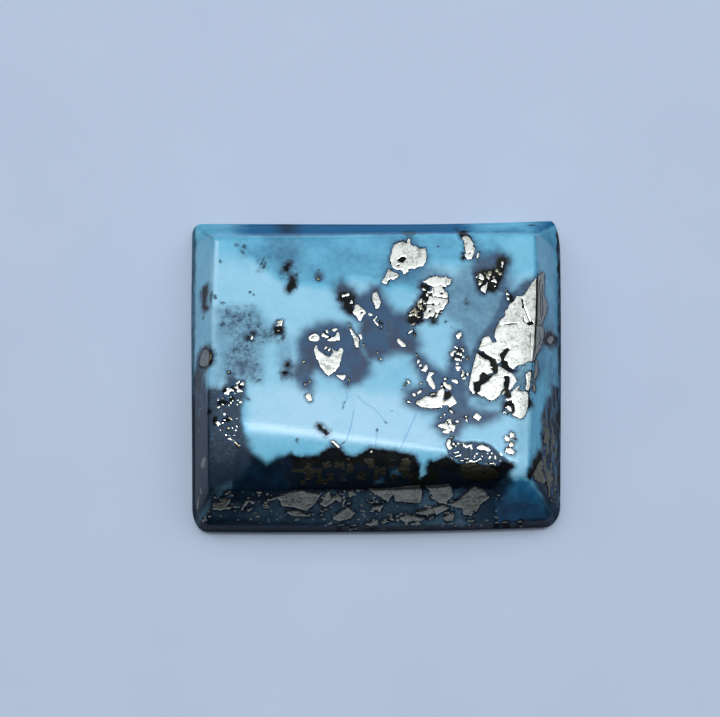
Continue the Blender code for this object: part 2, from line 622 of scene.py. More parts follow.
# The bright plates of pyrite, from the back of the table to its front.
PLATES = (
    mm(0.95, 6.15, 1.25, 6.32, 1.42, 6.38, 1.62, 6.22, 1.66, 6.32, 1.68, 6.5, 1.75, 6.58, 1.82, 6.5,
       1.82, 6.2, 2.0, 6.05, 2.12, 6.07, 2.3, 5.92, 2.62, 5.93, 2.68, 5.6, 2.66, 5.15, 2.48, 4.9,
       2.15, 4.82, 2.02, 4.72, 1.92, 4.78, 1.72, 4.72, 1.7, 4.58, 1.5, 4.43, 1.42, 4.5, 1.4, 4.65,
       1.12, 4.68, 0.9, 4.8, 0.78, 5.02, 0.8, 5.12, 0.73, 5.25, 0.76, 5.45, 0.85, 5.75),
    mm(0.65, 4.72, 0.85, 4.58, 1.15, 4.45, 1.2, 4.35, 1.15, 4.25, 0.9, 4.1, 0.78, 4.13, 0.62, 4.06,
       0.55, 3.82, 0.38, 3.9, 0.28, 4.0, 0.45, 4.18),
    mm(4.62, 6.5, 4.65, 6.66, 4.76, 6.72, 4.95, 6.72, 5.04, 6.62, 5.18, 6.3, 5.24, 6.2, 5.17, 6.1,
       5.33, 5.93, 5.22, 5.6, 5.12, 5.3, 4.9, 5.3, 4.75, 5.55, 4.68, 5.64, 4.83, 5.6, 4.82, 5.72,
       4.76, 5.95, 4.72, 6.4),
    mm(5.38, 5.45, 5.42, 5.6, 5.48, 5.72, 5.53, 5.65, 5.5, 5.45, 5.42, 5.38),
    mm(2.5, 4.0, 2.85, 4.22, 3.2, 4.33, 3.45, 4.25, 3.75, 4.3, 3.8, 4.2, 4.05, 4.15, 3.95, 3.85, 3.7, 3.7,
       3.4, 3.8, 3.1, 3.72, 2.85, 3.78, 2.72, 3.9),
    mm(5.58, 3.6, 5.7, 3.75, 5.85, 3.8, 5.97, 4.0, 5.92, 3.65, 5.83, 3.33, 5.65, 3.48),
    mm(-0.2, 3.28, -0.12, 3.38, -0.02, 3.4, 0.08, 3.28, 0.24, 2.8, 0.15, 2.5, 0.05, 2.4, -0.05, 2.45,
       -0.08, 2.65, -0.22, 2.9),
    mm(-0.35, 2.0, -0.47, 2.13, -0.38, 2.2, -0.2, 2.13, -0.22, 2.03),
    mm(0.05, 2.03, -0.1, 1.9, -0.2, 1.8, -0.07, 1.58, 0.1, 1.42, 0.13, 1.5, -0.02, 1.66, -0.08, 1.8,
       0.08, 1.97),
    mm(-1.87, 3.2, -1.83, 3.28, -1.72, 3.22, -1.48, 3.35, -1.43, 3.25, -1.55, 3.15, -1.83, 3.1),
    mm(-1.15, 2.65, -1.05, 2.7, -0.8, 2.5, -0.6, 2.3, -0.53, 2.2, -0.7, 2.05, -0.82, 1.76, -0.92, 1.74,
       -1.05, 1.95, -1.28, 2.2, -1.17, 2.45),
    mm(-1.52, 1.53, -1.47, 1.58, -1.4, 1.5, -1.46, 1.46),
    mm(-1.45, 1.3, -1.4, 1.4, -1.3, 1.2, -1.12, 0.92, -0.92, 0.68, -0.95, 0.4, -0.93, 0.25, -1.0, 0.18,
       -1.1, 0.22, -1.2, 0.5, -1.2, 0.7, -1.35, 1.0),
    mm(-0.93, 1.0, -0.85, 0.98, -0.77, 0.85, -0.77, 0.7, -0.83, 0.68, -0.95, 0.92),
    mm(-3.65, 0.78, -3.6, 0.88, -3.3, 1.03, -3.15, 0.98, -3.05, 0.82, -3.05, 0.68, -3.15, 0.58,
       -3.55, 0.58),
    mm(-2.75, 1.18, -2.68, 1.27, -2.6, 1.2, -2.57, 1.08, -2.65, 1.04),
    mm(-2.92, 1.02, -2.82, 1.05, -2.75, 0.95, -2.52, 0.83, -2.65, 0.77, -2.92, 0.82),
    mm(-2.4, 1.2, -2.3, 1.3, -2.15, 1.33, -2.08, 1.27, -2.25, 1.12, -2.35, 1.13),
    mm(-2.65, 0.63, -2.35, 0.8, -2.2, 0.85, -2.1, 1.08, -2.02, 1.1, -1.95, 0.65, -2.02, 0.58, -2.1, 0.62,
       -2.3, 0.55, -2.58, 0.6),
    mm(-3.35, 0.15, -3.22, 0.35, -3.15, 0.33, -3.18, 0.2, -3.1, 0.05, -2.8, -0.18, -2.55, -0.33,
       -2.48, -0.3, -2.3, -0.05, -2.45, 0.17, -2.2, 0.03, -2.05, 0, -1.93, 0.2, -1.82, 0.17, -1.77, 0.07,
       -1.88, -0.4, -2.0, -0.85, -2.22, -1.15, -2.4, -1.3, -2.52, -1.37, -2.62, -1.37, -2.8, -1.12,
       -3.02, -0.85, -3.1, -0.55, -3.22, -0.42, -3.32, 0),
    mm(-2.8, 0.15, -2.75, 0.28, -2.68, 0.3, -2.6, 0.2, -2.75, 0.08),
    mm(-2.6, 0.05, -2.5, 0.2, -2.42, 0.2, -2.55, -0.05),
    mm(-2.18, -1.32, -2.05, -1.36, -1.68, -1.32, -1.62, -1.38, -1.75, -1.62, -1.85, -1.62, -2.1, -1.42),
    mm(-3.78, -2.5, -3.7, -2.42, -3.6, -2.38, -3.5, -2.45, -3.42, -2.78, -3.6, -2.85, -3.75, -2.65),
    mm(-5.38, 1.45, -5.3, 1.55, -5.3, 1.75, -5.02, 1.8, -5.0, 1.7, -5.1, 1.45),
    mm(-6.75, 0.7, -6.68, 0.92, -6.6, 0.88, -6.63, 0.75, -6.68, 0.67),
    mm(1.68, 1.0, 1.75, 1.12, 1.95, 1.25, 1.95, 1.15, 1.72, 0.97),
    mm(1.1, 0.6, 1.12, 0.7, 1.2, 0.72, 1.45, 0.48, 1.6, 0.35, 1.6, 0.28, 1.48, 0.23, 1.35, 0.28,
       1.2, 0.42),
    mm(4.26, 0.88, 4.32, 1.0, 4.45, 1.1, 4.55, 1.05, 4.57, 0.9, 4.38, 0.7, 4.3, 0.78),
    mm(6.93, 3.3, 6.97, 3.42, 7.18, 3.25, 7.15, 3.2), mm(6.95, 3.1, 7.05, 3.13, 7.12, 3.05, 7.08, 2.93),
    mm(2.2, -0.45, 2.33, -0.5, 2.3, -0.62, 2.17, -0.68),
    mm(2.3, -0.75, 2.38, -0.7, 2.42, -0.8, 2.4, -0.9, 2.22, -0.85),
    mm(2.65, -0.72, 2.72, -0.8, 2.75, -0.98, 2.6, -1.17, 2.45, -1.15, 2.38, -1.05, 2.48, -0.98),
    mm(2.8, -1.18, 3.1, -1.2, 2.92, -1.4, 2.92, -1.5, 3.15, -1.95, 3.12, -2.1, 3.05, -2.17, 2.85, -1.95,
       2.66, -1.6, 2.68, -1.45),
    mm(1.6, -1.65, 1.72, -1.65, 1.78, -1.75, 1.75, -1.85, 1.62, -1.73),
    mm(1.85, -2.42, 1.95, -2.38, 2.05, -2.37, 2.1, -2.5, 2.03, -2.6, 1.97, -2.52),
    mm(2.15, -2.35, 2.35, -2.15, 2.4, -2.22, 2.4, -2.33, 2.2, -2.45),
    mm(1.62, -2.83, 1.7, -2.8, 1.8, -2.85, 1.78, -2.93, 1.68, -2.93),
    mm(2.12, -2.85, 2.4, -2.72, 2.55, -2.6, 2.68, -2.55, 3.1, -2.6, 3.2, -2.55, 3.25, -2.25, 3.5, -2.1,
       3.6, -2.12, 3.62, -2.3, 3.55, -2.7, 3.6, -2.82, 3.93, -2.65, 3.98, -2.5, 4.07, -2.52, 4.28, -2.9,
       4.25, -2.98, 4.0, -3.1, 3.98, -3.2, 3.9, -3.18, 3.82, -3.05, 3.5, -3.05, 3.48, -3.18, 2.9, -3.25,
       2.4, -3.17, 2.12, -3.0),
    mm(3.55, -1.8, 3.62, -1.72, 3.7, -1.75, 3.72, -1.85, 3.98, -1.9, 4.0, -2.1, 3.95, -2.2, 3.72, -2.12,
       3.6, -1.92),
    mm(3.57, -1.55, 3.65, -1.5, 3.75, -1.53, 3.73, -1.62, 3.62, -1.63),
    mm(3.4, -2.0, 3.48, -1.92, 3.55, -1.97, 3.5, -2.05),
    mm(4.0, -1.6, 4.1, -1.6, 4.32, -1.62, 4.36, -1.75, 4.33, -1.85, 4.25, -1.85, 4.02, -1.7),
    mm(3.85, -3.35, 3.95, -3.28, 4.05, -3.35, 4.1, -3.48, 4.0, -3.52),
    mm(3.57, -3.55, 3.65, -3.5, 3.72, -3.6, 3.6, -3.62),
    mm(4.58, -1.05, 4.65, -1.1, 4.68, -1.25, 4.65, -1.38, 4.55, -1.45, 4.5, -1.38, 4.55, -1.25),
    mm(4.6, -1.5, 4.7, -1.45, 4.78, -1.5, 4.72, -1.6, 4.55, -1.55),
    oval(4.86, -1.28, 0.05, 0.09),
    mm(5.12, -3.72, 5.28, -3.48, 5.35, -3.47, 5.62, -3.7, 5.42, -3.9, 5.35, -3.88),
    mm(4.65, -3.68, 4.75, -3.63, 4.85, -3.68, 4.78, -3.74),
    mm(4.72, -3.85, 4.8, -3.8, 4.88, -3.95, 4.85, -4.0),
    mm(-2.42, -5.1, -2.35, -5.02, -2.25, -5.05, -1.97, -5.35, -1.95, -5.45, -2.05, -5.47),
    mm(5.28, -5.4, 5.5, -5.25, 5.65, -5.25, 5.95, -5.4, 6.07, -5.58, 5.9, -5.65, 5.8, -5.58, 5.42, -5.55),
    mm(4.65, -6.25, 5.0, -6.13, 5.2, -6.15, 5.5, -6.0, 5.62, -6.05, 5.25, -6.25),
    mm(5.85, -6.3, 6.2, -6.23, 6.4, -6.42, 6.1, -6.36),
    mm(6.8, -4.85, 6.88, -4.75, 7.02, -4.78, 7.12, -4.95, 7.05, -5.08, 6.9, -5.06),
    mm(7.05, -4.62, 7.15, -4.52, 7.32, -4.6, 7.34, -4.82, 7.15, -4.86),
    mm(7.0, -5.25, 7.15, -5.05, 7.32, -5.15, 7.25, -5.35, 7.1, -5.38),
    mm(6.82, -5.62, 6.88, -5.43, 7.1, -5.4, 7.36, -5.62, 7.28, -5.8, 7.0, -5.75),
)

# The big broken vein at the right of the table, which runs on over its edge and down the right bevel.
VEIN = (
    mm(5.33, -0.12, 5.42, -0.13, 5.65, -0.35, 6.0, -0.5, 6.1, -0.66, 6.02, -0.76, 6.2, -0.9, 6.05, -0.95,
       6.2, -1.1, 6.2, -1.2, 5.9, -1.32, 5.85, -1.22, 5.65, -1.15, 5.5, -1.35, 5.5, -1.62, 5.42, -1.7,
       5.3, -1.72, 5.15, -1.65, 5.17, -1.98, 5.18, -2.2, 5.25, -2.3, 5.25, -2.4, 5.15, -2.4, 4.95, -2.15,
       4.93, -2.0, 5.0, -1.6, 5.1, -1.1, 5.2, -0.65),
    mm(5.55, -2.05, 5.57, -1.92, 5.95, -1.68, 6.22, -1.35, 6.48, -1.2, 6.5, -0.8, 6.7, -0.92, 6.9, -1.05,
       7.1, -1.2, 7.25, -1.2, 7.37, -1.4, 7.48, -1.62, 7.45, -1.72, 7.12, -2.18, 7.07, -2.15, 7.05, -2.05,
       7.1, -1.7, 7.12, -1.38, 6.75, -1.38, 6.85, -1.6, 6.78, -1.75, 6.78, -1.95, 6.82, -2.1, 6.65, -2.18,
       6.6, -2.4, 6.45, -2.6, 6.2, -2.75, 6.0, -2.75, 5.75, -2.55, 5.6, -2.55, 5.38, -2.35, 5.53, -2.2),
    mm(5.45, 0.12, 5.6, 0.5, 5.68, 0.7, 5.8, 0.82, 5.97, 0.88, 6.1, 0.75, 6.22, 0.52, 6.4, 0.55,
       6.45, 0.6, 6.32, 0.88, 6.38, 1.25, 6.5, 1.55, 6.72, 1.9, 6.85, 1.98, 6.9, 2.1, 6.88, 2.25,
       6.92, 2.38, 7.05, 2.45, 7.12, 2.72, 7.38, 2.9, 7.52, 3.18, 7.85, 3.2, 8.02, 3.4, 8.15, 3.65,
       8.32, 3.92, 8.65, 4.38, 8.85, 4.7, 8.95, 4.9, 9.03, 4.95, 9.03, 4.3, 9.0, 3.6, 9.15, 3.5, 9.2, 3.2,
       9.12, 2.7, 8.98, 2.2, 8.8, 1.75, 8.95, 1.8, 9.0, 1.5, 8.9, 0.9, 8.75, 0.4, 8.55, 0, 8.42, -0.4,
       8.3, -0.52, 8.15, -0.5, 7.85, -0.7, 7.65, -0.72, 7.35, -0.92, 7.25, -0.98, 7.08, -0.82, 7.0, -0.55,
       6.82, -0.5, 6.82, -0.35, 6.98, -0.1, 7.15, 0.15, 7.0, 0.23, 6.82, 0.12, 6.75, 0, 6.62, -0.08,
       6.58, -0.2, 6.7, -0.5, 6.25, -0.38, 5.95, -0.2, 5.7, 0.02),
    mm(6.35, -0.42, 6.6, -0.45, 6.65, -0.58, 6.45, -0.68),
    mm(7.95, -1.25, 8.15, -1.08, 8.28, -1.05, 8.28, -1.3, 8.22, -1.9, 8.1, -2.2, 7.98, -2.12, 7.95, -2.0,
       8.02, -1.7, 8.02, -1.5),
    mm(7.5, -1.95, 7.58, -1.88, 7.63, -1.95, 7.52, -2.15, 7.68, -2.22, 7.95, -2.22, 8.08, -2.3,
       8.1, -2.75, 8.05, -3.2, 7.92, -3.5, 7.78, -3.73, 7.65, -3.78, 7.22, -3.58, 7.38, -3.35, 7.35, -3.0,
       7.2, -2.75, 6.95, -2.77, 6.85, -2.65, 7.1, -2.65, 7.17, -2.55, 7.2, -2.25, 7.4, -2.05),
    mm(8.5, -0.35, 8.58, -0.3, 8.65, -0.9, 8.5, -1.3, 8.42, -1.5, 8.5, -1.9, 8.42, -2.1, 8.35, -2.1,
       8.38, -1.4, 8.48, -0.8),
    mm(9.15, 1.25, 9.25, 1.4, 9.35, 1.6, 9.5, 1.75, 9.55, 1.65, 9.4, 1.2, 9.25, 1.15),
)

# Grains that came out crumbly, veined and pitted.
CRUMBS = (
    mm(3.05, 3.74, 3.62, 3.74, 3.66, 3.42, 3.78, 3.4, 3.83, 3.2, 3.82, 2.8, 3.65, 2.55, 3.5, 2.2,
       3.32, 2.1, 3.2, 1.87, 3.05, 1.87, 2.98, 2.0, 2.83, 2.02, 2.8, 1.85, 2.52, 1.88, 2.55, 2.2,
       2.65, 2.35, 2.63, 2.7, 2.5, 2.72, 2.75, 2.85, 2.85, 3.1, 2.7, 3.15, 2.65, 3.3, 2.75, 3.45,
       2.95, 3.42),
    mm(2.36, 2.78, 2.33, 2.9, 2.4, 3.03, 2.48, 3.02, 2.4, 2.78), oval(1.8, 2.03, 0.08, 0.05),
    mm(2.42, 3.6, 2.5, 3.62, 2.68, 3.52, 2.6, 3.46),
    mm(3.92, -0.12, 4.12, 0.03, 4.28, 0.05, 4.3, -0.02, 4.15, -0.05, 4.12, -0.25, 4.02, -0.3),
    mm(4.25, -0.15, 4.4, -0.02, 4.55, -0.05, 4.57, -0.18, 4.48, -0.25, 4.35, -0.2),
    mm(4.2, -0.72, 4.25, -0.65, 4.42, -0.65, 4.4, -0.75, 4.3, -0.8),
    oval(4.3, 0.2, 0.06), oval(4.45, -0.5, 0.12, 0.06),
    mm(3.22, -4.2, 3.38, -4.08, 3.6, -4.08, 3.8, -3.82, 3.88, -3.78, 3.97, -3.85, 4.02, -4.15,
       4.15, -4.15, 4.22, -4.22, 4.12, -4.45, 4.08, -4.6, 3.98, -4.45, 3.85, -4.62, 3.58, -4.62,
       3.5, -4.5, 3.72, -4.4, 3.45, -4.35),
    mm(4.17, -3.97, 4.25, -3.85, 4.48, -4.0, 4.28, -4.02),
    mm(3.35, -3.73, 3.45, -3.7, 3.48, -3.76, 3.38, -3.78),
    mm(6.85, -3.2, 6.9, -3.08, 7.12, -3.02, 7.2, -3.35, 7.15, -3.45, 6.98, -3.2),
    mm(6.7, -3.38, 6.8, -3.35, 6.98, -3.5, 6.72, -3.45),
    mm(5.52, 4.45, 5.57, 4.5, 5.78, 4.3, 5.78, 4.15, 5.7, 4.08, 5.52, 4.2),
    mm(5.33, 4.25, 5.4, 4.37, 5.45, 4.33, 5.4, 4.22), oval(5.56, 3.89, 0.08),
    mm(5.95, 4.22, 6.02, 4.28, 6.12, 4.2, 5.98, 4.15),
    mm(6.1, 4.02, 6.38, 4.18, 6.47, 3.98, 6.42, 3.93, 6.33, 4.02),
    mm(6.3, 3.72, 6.37, 3.83, 6.42, 3.78, 6.36, 3.7), mm(6.4, 4.62, 6.48, 4.73, 6.55, 4.7, 6.42, 4.58),
    mm(6.72, 5.15, 6.78, 5.22, 6.83, 5.1, 6.75, 4.87), mm(-1.42, 2.72, -1.33, 2.97, -1.22, 2.75),
    mm(0.08, 1.78, 0.22, 1.75, 0.35, 1.53, 0.1, 1.72), mm(0.2, 1.27, 0.28, 1.42, 0.32, 1.38, 0.25, 1.28),
    mm(3.82, -4.97, 3.93, -4.97, 3.95, -5.1, 3.88, -5.3, 4.03, -5.35, 4.03, -5.45, 3.9, -5.52,
       3.72, -5.35, 3.7, -5.2),
    mm(4.0, -5.2, 4.1, -5.08, 4.22, -5.22, 4.12, -5.32),
    mm(4.1, -5.7, 4.4, -5.6, 4.42, -5.65, 4.18, -5.75), mm(4.12, -5.87, 4.42, -5.87, 4.2, -5.97),
    mm(3.87, -5.92, 3.93, -5.9, 4.05, -6.03, 4.02, -6.07),
    mm(4.42, -6.12, 4.52, -6.08, 4.63, -6.12, 4.55, -6.18),
    mm(4.92, -5.25, 4.98, -5.18, 5.07, -5.25, 5.02, -5.35),
    mm(-7.5, -1.78, -7.3, -1.62, -7.28, -1.68, -7.45, -1.86),
    mm(-7.28, -1.85, -7.1, -1.65, -7.07, -1.72, -7.2, -1.93),
    mm(-7.7, -1.97, -7.45, -1.95, -7.3, -2.15, -7.12, -2.22, -7.1, -2.3, -7.28, -2.28, -7.48, -2.28,
       -7.42, -2.1),
    mm(-8.05, -2.27, -7.8, -2.05, -7.62, -2.15, -7.57, -2.28, -7.7, -2.24, -8.0, -2.33),
    mm(-7.78, -2.5, -7.72, -2.5, -7.74, -2.95, -7.82, -3.05, -7.9, -3.02, -7.82, -2.9),
    mm(-8.58, -3.98, -8.42, -3.86, -8.37, -4.1, -8.42, -4.17),
    mm(-8.25, -3.97, -8.18, -3.93, -8.13, -4.0, -8.2, -4.05),
    mm(-8.15, -3.83, -8.08, -3.75, -8.03, -3.8, -8.07, -3.87),
    mm(-7.93, -4.9, -7.85, -4.8, -7.77, -4.83, -7.76, -4.93),
)

# Grains that lie a little under the polish, or whose face is tarnished.
TARNISHED = (
    mm(1.78, 2.2, 1.82, 2.28, 1.95, 2.35, 1.98, 2.28),
    mm(2.15, 2.68, 2.2, 2.73, 2.42, 2.55, 2.42, 2.38, 2.35, 2.38),
    mm(2.02, 2.5, 2.08, 2.52, 2.2, 2.15, 2.2, 1.97, 2.1, 1.98, 2.06, 2.2, 1.98, 2.4),
    mm(1.85, 1.5, 2.0, 1.42, 2.1, 1.62, 1.95, 1.6), mm(1.98, 1.02, 2.06, 1.0, 2.08, 0.88, 2.03, 0.8),
    oval(4.57, 0.18, 0.06), oval(0.05, -0.1, 0.05), oval(0.22, -0.43, 0.07, 0.06), oval(-0.7, 0.35, 0.06),
    mm(-1.52, -1.5, -1.4, -1.7, -1.44, -1.72, -1.56, -1.52), oval(-1.6, -1.88, 0.05),
    mm(-3.98, -0.6, -3.88, -0.52, -3.78, -0.58, -3.85, -0.66), oval(-3.58, -1.7, 0.07),
    oval(-3.83, -1.85, 0.05), mm(2.05, -0.1, 2.28, -0.3, 2.24, -0.34, 2.02, -0.14),
    mm(1.58, -1.85, 1.52, -2.0, 1.47, -1.98, 1.54, -1.84), oval(2.38, -1.82, 0.05),
    mm(2.85, -2.4, 3.12, -2.35, 3.15, -2.45, 2.92, -2.48),
    mm(4.78, -0.55, 4.82, -0.35, 4.9, -0.3, 4.9, -0.45),
    mm(6.72, -2.25, 6.85, -2.2, 6.88, -2.3, 6.7, -2.45),
    mm(6.92, 3.6, 6.98, 3.42, 7.02, 3.44, 6.96, 3.62), oval(4.0, -4.85, 0.07),
    mm(7.2, -4.95, 7.35, -4.9, 7.42, -4.97, 7.3, -5.0), mm(-8.3, -2.52, -8.1, -2.62, -8.2, -2.65),
    oval(-7.88, -1.15, 0.07), mm(-7.0, -2.58, -6.78, -2.7, -6.97, -2.65),
    mm(-7.95, -3.6, -7.65, -3.8, -7.7, -3.88, -7.9, -3.72),
    mm(-7.95, -4.25, -7.85, -4.2, -7.8, -4.35, -7.95, -4.4),
    mm(-7.6, -5.03, -7.5, -5.0, -7.35, -5.2, -7.2, -5.2, -7.35, -5.35, -7.55, -5.15),
    oval(-0.28, -5.67, 0.07, 0.1), oval(-5.25, 1.2, 0.07, 0.05),
    mm(-3.22, 4.22, -3.12, 4.28, -3.05, 4.1, -3.12, 4.05),
    mm(-9.3, 0.55, -9.1, 0.4, -9.0, 0.15, -8.82, -0.15, -8.85, -0.4, -9.0, -0.6, -9.1, -0.58, -9.4, -0.25,
       -9.5, 0.0, -9.45, 0.3),
    mm(8.62, -5.95, 8.7, -5.75, 8.8, -5.7, 8.88, -5.75, 8.88, -6.0, 8.8, -6.2, 8.95, -6.4, 8.98, -6.8,
       8.9, -6.93, 8.4, -6.95, 8.3, -6.7, 8.55, -6.15),
    mm(9.12, -3.6, 9.2, -3.55, 9.3, -4.1, 9.25, -4.35, 9.1, -4.3, 8.98, -4.7, 8.92, -4.5, 9.05, -4.0),
    mm(9.3, -4.4, 9.48, -4.6, 9.4, -4.8, 9.3, -4.75), mm(9.25, -5.9, 9.3, -5.5, 9.4, -5.45, 9.38, -5.8),
    mm(9.05, -6.9, 9.15, -6.7, 9.22, -6.7, 9.1, -6.98),
    mm(9.2, -7.05, 9.27, -7.1, 9.25, -7.45, 9.15, -7.45), mm(9.25, -7.62, 9.35, -7.55, 9.45, -7.72),
    mm(9.55, -6.7, 9.62, -6.8, 9.55, -7.05, 9.47, -6.95),
)

# Grains in the dark front of the table, painted nearly black: partly their own tarnish, partly painted shade
# for the dark they mirror there.
BLACKENED_AND_SHADED = (
    mm(4.5, -6.35, 4.9, -6.3, 5.4, -6.3, 5.8, -6.45, 6.2, -6.5, 6.5, -6.8, 6.35, -7.0, 5.6, -7.18,
       5.1, -7.15, 4.7, -7.0, 4.5, -6.8),
    mm(1.32, -6.02, 1.7, -5.98, 1.75, -6.9, 1.4, -6.97, 1.28, -6.5),
    mm(-3.85, -6.95, -3.6, -6.85, -3.4, -6.5, -3.3, -6.7, -3.35, -6.95, -3.7, -7.05),
    oval(-3.1, -6.85, 0.12), oval(-2.6, -6.8, 0.12, 0.07),
    mm(-2.0, -6.3, -1.75, -6.15, -1.65, -6.5, -1.9, -6.55),
    mm(-1.1, -6.8, -0.8, -6.65, -0.5, -6.8, -0.6, -7.1, -1.0, -7.05),
    mm(-1.6, -6.3, -1.3, -6.2, -1.2, -6.6, -1.5, -6.8),
    mm(-0.5, -6.1, -0.2, -6.0, -0.1, -6.4, -0.45, -6.5), mm(0.1, -6.5, 0.45, -6.4, 0.5, -6.8, 0.2, -6.85),
    mm(-2.9, -6.2, -2.5, -6.1, -2.4, -6.4, -2.8, -6.5),
)

# The plates of the front bevel, from left to right. They get the worn polish, browner and darker: partly
# wear, partly painted shade for the dim front they mirror.
FRONT_PLATES = (
    mm(-8.72, -8.25, -8.7, -8.0, -8.6, -7.93, -8.35, -7.95, -8.35, -7.82, -8.1, -7.78, -7.72, -7.85,
       -7.92, -8.08, -7.72, -8.15, -7.75, -8.22, -8.3, -8.28),
    mm(-8.1, -7.65, -7.85, -7.52, -7.7, -7.52, -8.0, -7.7), mm(-8.72, -7.8, -8.6, -7.68, -8.5, -7.82),
    oval(-8.9, -8.5, 0.08, 0.06), oval(-9.22, -8.62, 0.07), mm(-7.72, -8.27, -7.45, -8.32, -7.55, -8.35),
    mm(-7.22, -8.25, -7.15, -8.1, -6.98, -7.9, -6.75, -7.85, -6.78, -7.95, -7.08, -8.2, -7.1, -8.33),
    mm(-6.95, -7.78, -6.68, -7.8, -6.85, -7.85), mm(-6.95, -8.25, -6.65, -8.15, -6.55, -8.2, -6.8, -8.35),
    mm(-6.4, -7.55, -6.15, -7.55, -6.05, -7.62, -6.35, -7.64),
    mm(-5.88, -7.65, -5.8, -7.6, -5.73, -7.68, -5.85, -7.74),
    mm(-5.85, -7.83, -5.55, -7.83, -5.5, -7.9, -5.8, -7.95),
    mm(-6.1, -8.05, -5.78, -8.05, -5.75, -8.12, -6.0, -8.15),
    mm(-5.35, -7.8, -5.05, -7.7, -4.6, -7.58, -4.0, -7.52, -3.4, -7.62, -3.0, -7.68, -2.98, -7.75,
       -3.35, -8.1, -3.75, -8.32, -4.4, -8.18, -4.95, -8.15, -5.08, -8.08, -5.12, -7.85),
    mm(-4.85, -8.35, -4.45, -8.27, -4.2, -8.28, -3.7, -8.45, -3.45, -8.42, -3.65, -8.53, -4.5, -8.52),
    mm(-3.05, -8.05, -2.8, -7.82, -2.62, -7.58, -2.45, -7.58, -2.48, -7.68, -2.42, -7.8, -2.15, -7.78,
       -2.1, -7.62, -1.85, -7.82, -1.85, -7.92, -1.92, -8.02, -2.15, -7.92, -2.72, -8.18),
    mm(-1.8, -7.55, -1.63, -7.55, -1.68, -7.65),
    mm(-1.52, -7.62, -1.25, -7.52, -1.2, -7.68, -1.42, -7.85),
    mm(-1.1, -7.53, -0.95, -7.52, -0.82, -7.58, -0.95, -7.63), mm(-0.78, -7.53, -0.55, -7.6, -0.72, -7.6),
    mm(-1.85, -8.08, -1.72, -7.88, -1.62, -7.9, -1.78, -8.12),
    mm(-1.6, -8.05, -1.4, -8.0, -1.35, -8.08, -1.55, -8.1),
    mm(-2.85, -8.25, -2.7, -8.23, -2.55, -8.3, -2.8, -8.3), mm(-3.05, -8.5, -2.8, -8.38, -2.9, -8.5),
    mm(-2.35, -8.55, -2.1, -8.43, -1.55, -8.15, -1.12, -8.4, -1.4, -8.6, -2.05, -8.72, -2.25, -8.62),
    mm(-2.1, -8.87, -1.7, -8.8, -1.6, -8.83, -2.05, -8.9),
    mm(-1.4, -8.88, -1.15, -8.83, -1.05, -8.87, -1.35, -8.9),
    mm(-0.5, -7.48, 0.2, -7.5, 0.9, -7.45, 1.9, -7.37, 2.3, -7.35, 2.42, -7.6, 2.38, -7.95, 2.0, -8.02,
       1.0, -7.98, 0.9, -7.62, 0.85, -7.75, 0.6, -7.98, 0.1, -7.77),
    mm(-0.5, -7.97, -0.1, -7.97, 0.05, -7.98, -0.3, -8.05),
    mm(-0.25, -8.27, -0.2, -8.12, 0.35, -8.12, 0.22, -8.3, -0.15, -8.3),
    mm(0.05, -8.0, 0.4, -8.0, 0.2, -8.05),
    mm(2.5, -7.38, 3.5, -7.3, 3.9, -7.28, 4.05, -7.65, 4.02, -7.8, 3.55, -8.02, 3.35, -8.02, 2.88, -7.82,
       2.95, -7.68, 2.75, -7.5),
    mm(3.75, -8.05, 4.3, -7.88, 4.7, -7.62, 5.05, -7.4, 5.25, -7.35, 5.75, -7.48, 6.03, -7.75, 5.5, -8.05,
       5.3, -8.33, 5.15, -8.25, 5.05, -8.48, 4.62, -8.42, 4.6, -8.22, 4.2, -8.15),
    mm(6.4, -7.62, 6.5, -7.6, 6.58, -7.68, 6.45, -7.7), mm(4.8, -8.63, 5.2, -8.6, 5.22, -8.68, 4.9, -8.7),
    mm(2.05, -8.38, 2.5, -8.27, 3.2, -8.12, 3.6, -8.05, 3.88, -8.2, 3.35, -8.4, 3.2, -8.47, 3.05, -8.3,
       2.98, -8.4, 2.7, -8.47, 2.25, -8.43),
    mm(3.6, -8.5, 3.9, -8.35, 4.1, -8.35, 4.15, -8.45, 4.05, -8.67, 3.7, -8.68, 3.58, -8.55),
    mm(1.25, -8.55, 1.6, -8.43, 2.0, -8.48, 2.6, -8.58, 2.4, -8.67, 1.95, -8.68, 1.55, -8.77, 1.3, -8.65),
    mm(0.95, -8.52, 1.35, -8.45, 1.1, -8.55), mm(0.68, -8.6, 0.8, -8.53, 0.95, -8.7, 0.78, -8.68),
    mm(0.2, -8.7, 0.5, -8.67, 0.65, -8.72, 0.35, -8.8),
    mm(-0.65, -8.82, -0.3, -8.72, -0.05, -8.62, 0.05, -8.65, 0.05, -8.85, -0.3, -8.88),
    mm(2.75, -8.62, 3.05, -8.5, 3.08, -8.57), mm(6.3, -8.75, 6.4, -8.65, 6.5, -8.68, 6.52, -8.75),
    mm(6.7, -8.72, 6.8, -8.62, 7.1, -8.72, 6.9, -8.75), mm(7.4, -8.67, 7.85, -8.62, 7.7, -8.7),
)

GRAINS = {
    Polish.PLATE: PLATES + VEIN,
    Polish.CRUMBLY: CRUMBS,
    Polish.WORN_AND_SHADED: FRONT_PLATES,
    Polish.DULL: TARNISHED,
    Polish.BLACK: BLACKENED_AND_SHADED,
}

